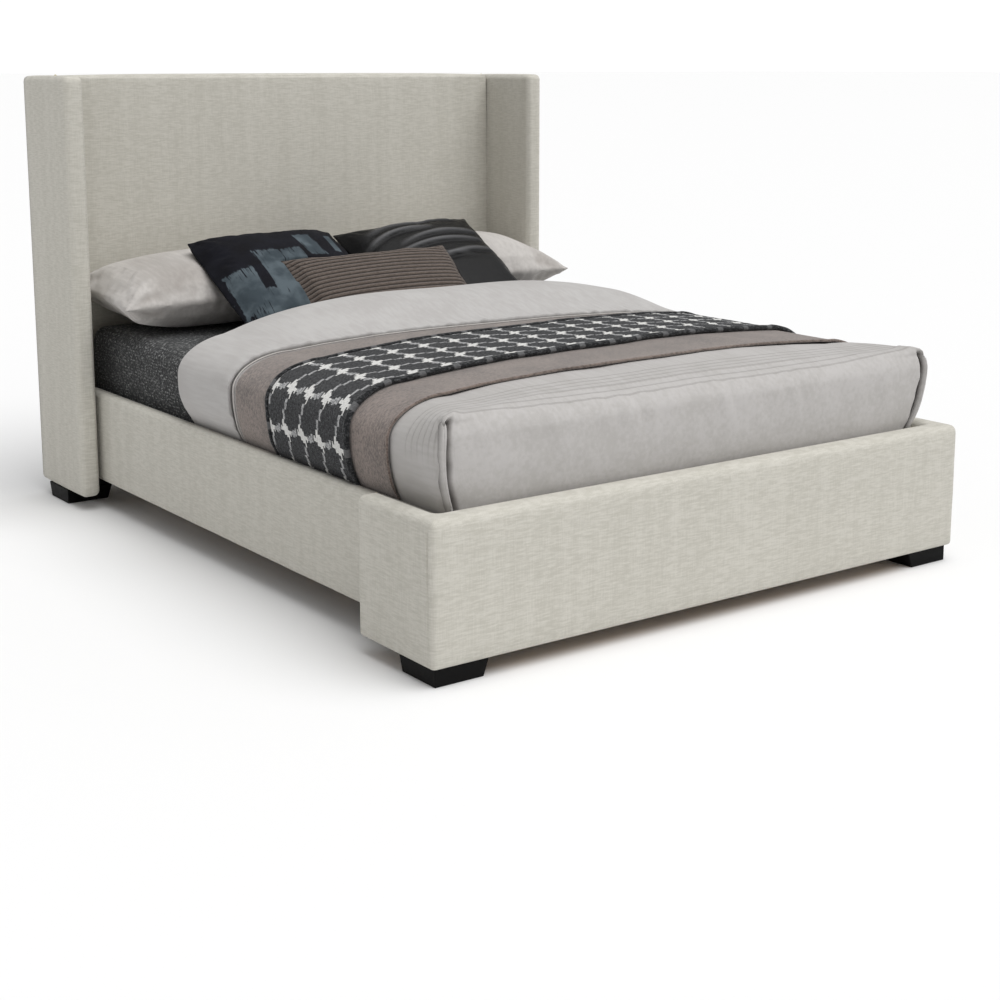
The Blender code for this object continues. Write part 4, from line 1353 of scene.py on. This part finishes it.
def make_cushions():
    mattress_top = COVERLET_HIGH.z + 0.0035
    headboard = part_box("headboard_cover")[0].y - 0.006
    pillows = []
    for side, _ in SIDES:
        pillow = flat_case(f"pillow_{side}_cotton", 0.790, 0.480, 0.190, 0.07)
        inflate(pillow, 0.0085, 5.0, 0.020)
        # the pillows' dips are marked for the painted shade in their creases
        wrinkle(pillow, corner_creases(0.79, 0.48, 0.012), 0.006)
        pillow.data.materials.append(PILLOW_COTTON)
        place_piece(pillow, f"pillow_{side}", *PILLOW_PLACES[side])
        pillows.append(pillow)

    navy = flat_case("navy_cushion_cloth", 0.515, 0.490, 0.125, -0.025)
    inflate(navy, 0.0065, 4.0, 0.016)
    wrinkle(navy, corner_creases(0.515, 0.49, 0.0060))
    navy.data.materials.append(NAVY)
    place_piece(navy, "navy_cushion", (0.022, -0.008, -0.010), 28.0, 0.0, -0.5)

    charcoal = flat_case("charcoal_cushion_satin", 0.535, 0.500, 0.125, 0.010)
    inflate(charcoal, 0.0065, 4.0, 0.016)
    wrinkle(charcoal, corner_creases(0.5, 0.485, 0.0045))
    fold_satin(charcoal)
    charcoal.data.materials.append(SATIN)
    place_piece(charcoal, "charcoal_cushion", (0.017, -0.008, -0.020), 32.0, 0.0, -3.0)

    lumbar = flat_case("lumbar_cushion_cord", 0.615, 0.315, 0.095, 0.030)
    inflate(lumbar, 0.0050, 4.0, 0.010)
    subdivide_once(lumbar)
    apply_modifiers(lumbar)

    def ribs(point):
        rib = abs(math.cos(math.pi * point.y / RIB))
        face = float(1.0 - smooth(0.94, 1.0, max(abs(point.x) / 0.295, abs(point.y) / 0.150)))
        return 0.0030 * (rib - 1.0) * face

    wrinkle(lumbar, corner_creases(0.61, 0.31, 0.0030))
    wrinkle(lumbar, ribs)
    lumbar.data.materials.append(CORDUROY)
    place_piece(lumbar, "lumbar_cushion", (0.002, 0.004, -0.012), 39.0, 0.0, -1.0)

    press_against(navy, [lumbar], 0.001)
    press_against(charcoal, [lumbar], 0.001)
    press_against(pillows[0], [navy, charcoal], 0.001)
    press_against(pillows[1], [charcoal, navy], 0.001)
    for piece in (*pillows, navy, charcoal, lumbar):
        rest_on_planes(piece, mattress_top, headboard)
        piece.data.shade_smooth()
    for pillow, (side, _) in zip(pillows, SIDES):
        subdivide_once(pillow)
        keep(pillow, "sleeping_pillows", "pillow_cotton", f"pillow_{side}")
    squares = ((navy, "navy_print", "navy_cushion"), (charcoal, "charcoal_satin", "charcoal_cushion"))
    for piece, slot, node in squares:
        subdivide_once(piece)
        keep(piece, "square_cushions", slot, node)
    keep(lumbar, "lumbar_cushion_body", "ribbed_taupe", "lumbar_cushion")


# ---------------------------------------------------------------- carried-over CAD pieces


def dress_cad_nodes():
    """Give every CAD piece that stays visible its own finish."""
    finishes = {
        "linen_upholstery": LINEN, "upholstery_foam": FOAM, "plywood_board": PLYWOOD, "pine_timber": PINE,
        "black_wood": BLACK_WOOD, "dust_cloth": DUST_CLOTH, "zinc_steel": STEEL, "black_plastic": PLASTIC,
        "mattress_ticking": TICKING,
    }
    slots = {entry["node"]: entry["material_slot"] for entry in frame["record"]["subparts"]}
    for name, piece in frame["nodes"].items():
        finish = finishes.get(slots[name])
        if finish is None:
            continue
        for place in piece.material_slots:
            place.material = finish


# ---------------------------------------------------------------- stage


def make_stage():
    """A white floor that runs to the horizon, an even white surround and a wide soft key light."""
    floor_mesh = bpy.data.meshes.new("floor")
    reach = 300.0
    floor_mesh.from_pydata([(-reach, -reach, 0), (reach, -reach, 0), (reach, reach, 0), (-reach, reach, 0)],
                           [], [(0, 1, 2, 3)])
    floor = new_object("floor", floor_mesh)
    f = Finish("pale_floor", 0.9)
    f.shader.inputs["Base Color"].default_value = (0.86, 0.86, 0.86, 1.0)
    floor_mesh.materials.append(f.material)

    world = bpy.data.worlds.new("studio")
    bpy.context.scene.world = world
    world.use_nodes = True
    nodes, links = world.node_tree.nodes, world.node_tree.links
    seen = nodes.new("ShaderNodeLightPath").outputs["Is Camera Ray"]
    strength = nodes.new("ShaderNodeMapRange")
    strength.inputs["To Min"].default_value = SURROUND_LIGHT
    strength.inputs["To Max"].default_value = 1.05
    links.new(seen, strength.inputs["Value"])
    links.new(strength.outputs[0], nodes["Background"].inputs["Strength"])
    nodes["Background"].inputs["Color"].default_value = (1.0, 1.0, 1.0, 1.0)

    key = bpy.data.lights.new("key", "SUN")
    key.energy = KEY_LIGHT
    key.angle = math.radians(KEY_SPREAD)
    key_object = new_object("key", key)
    key_object.rotation_euler = Vector(KEY_FROM).to_track_quat("Z", "Y").to_euler()

    lens = bpy.data.cameras.new("camera")
    lens.lens = CAMERA_LENS
    lens.sensor_width = 36.0
    lens.shift_y = CAMERA_SHIFT
    camera = new_object("camera", lens)
    x, y, z = CAMERA_FROM_FOOT
    camera.location = (x, FOOT_FRONT + y, z)
    camera.rotation_euler = (math.radians(90.0 - CAMERA_PITCH), 0.0, math.radians(-CAMERA_YAW))
    bpy.context.scene.camera = camera
    bpy.context.scene.view_settings.view_transform = "Standard"


make_stage()
dress_cad_nodes()
make_frame_covers()
make_footboard_cover()
make_coverlet()
make_duvet()
make_duvet_fold()
make_blanket_and_throw()
make_cushions()

bpy.context.view_layer.update()
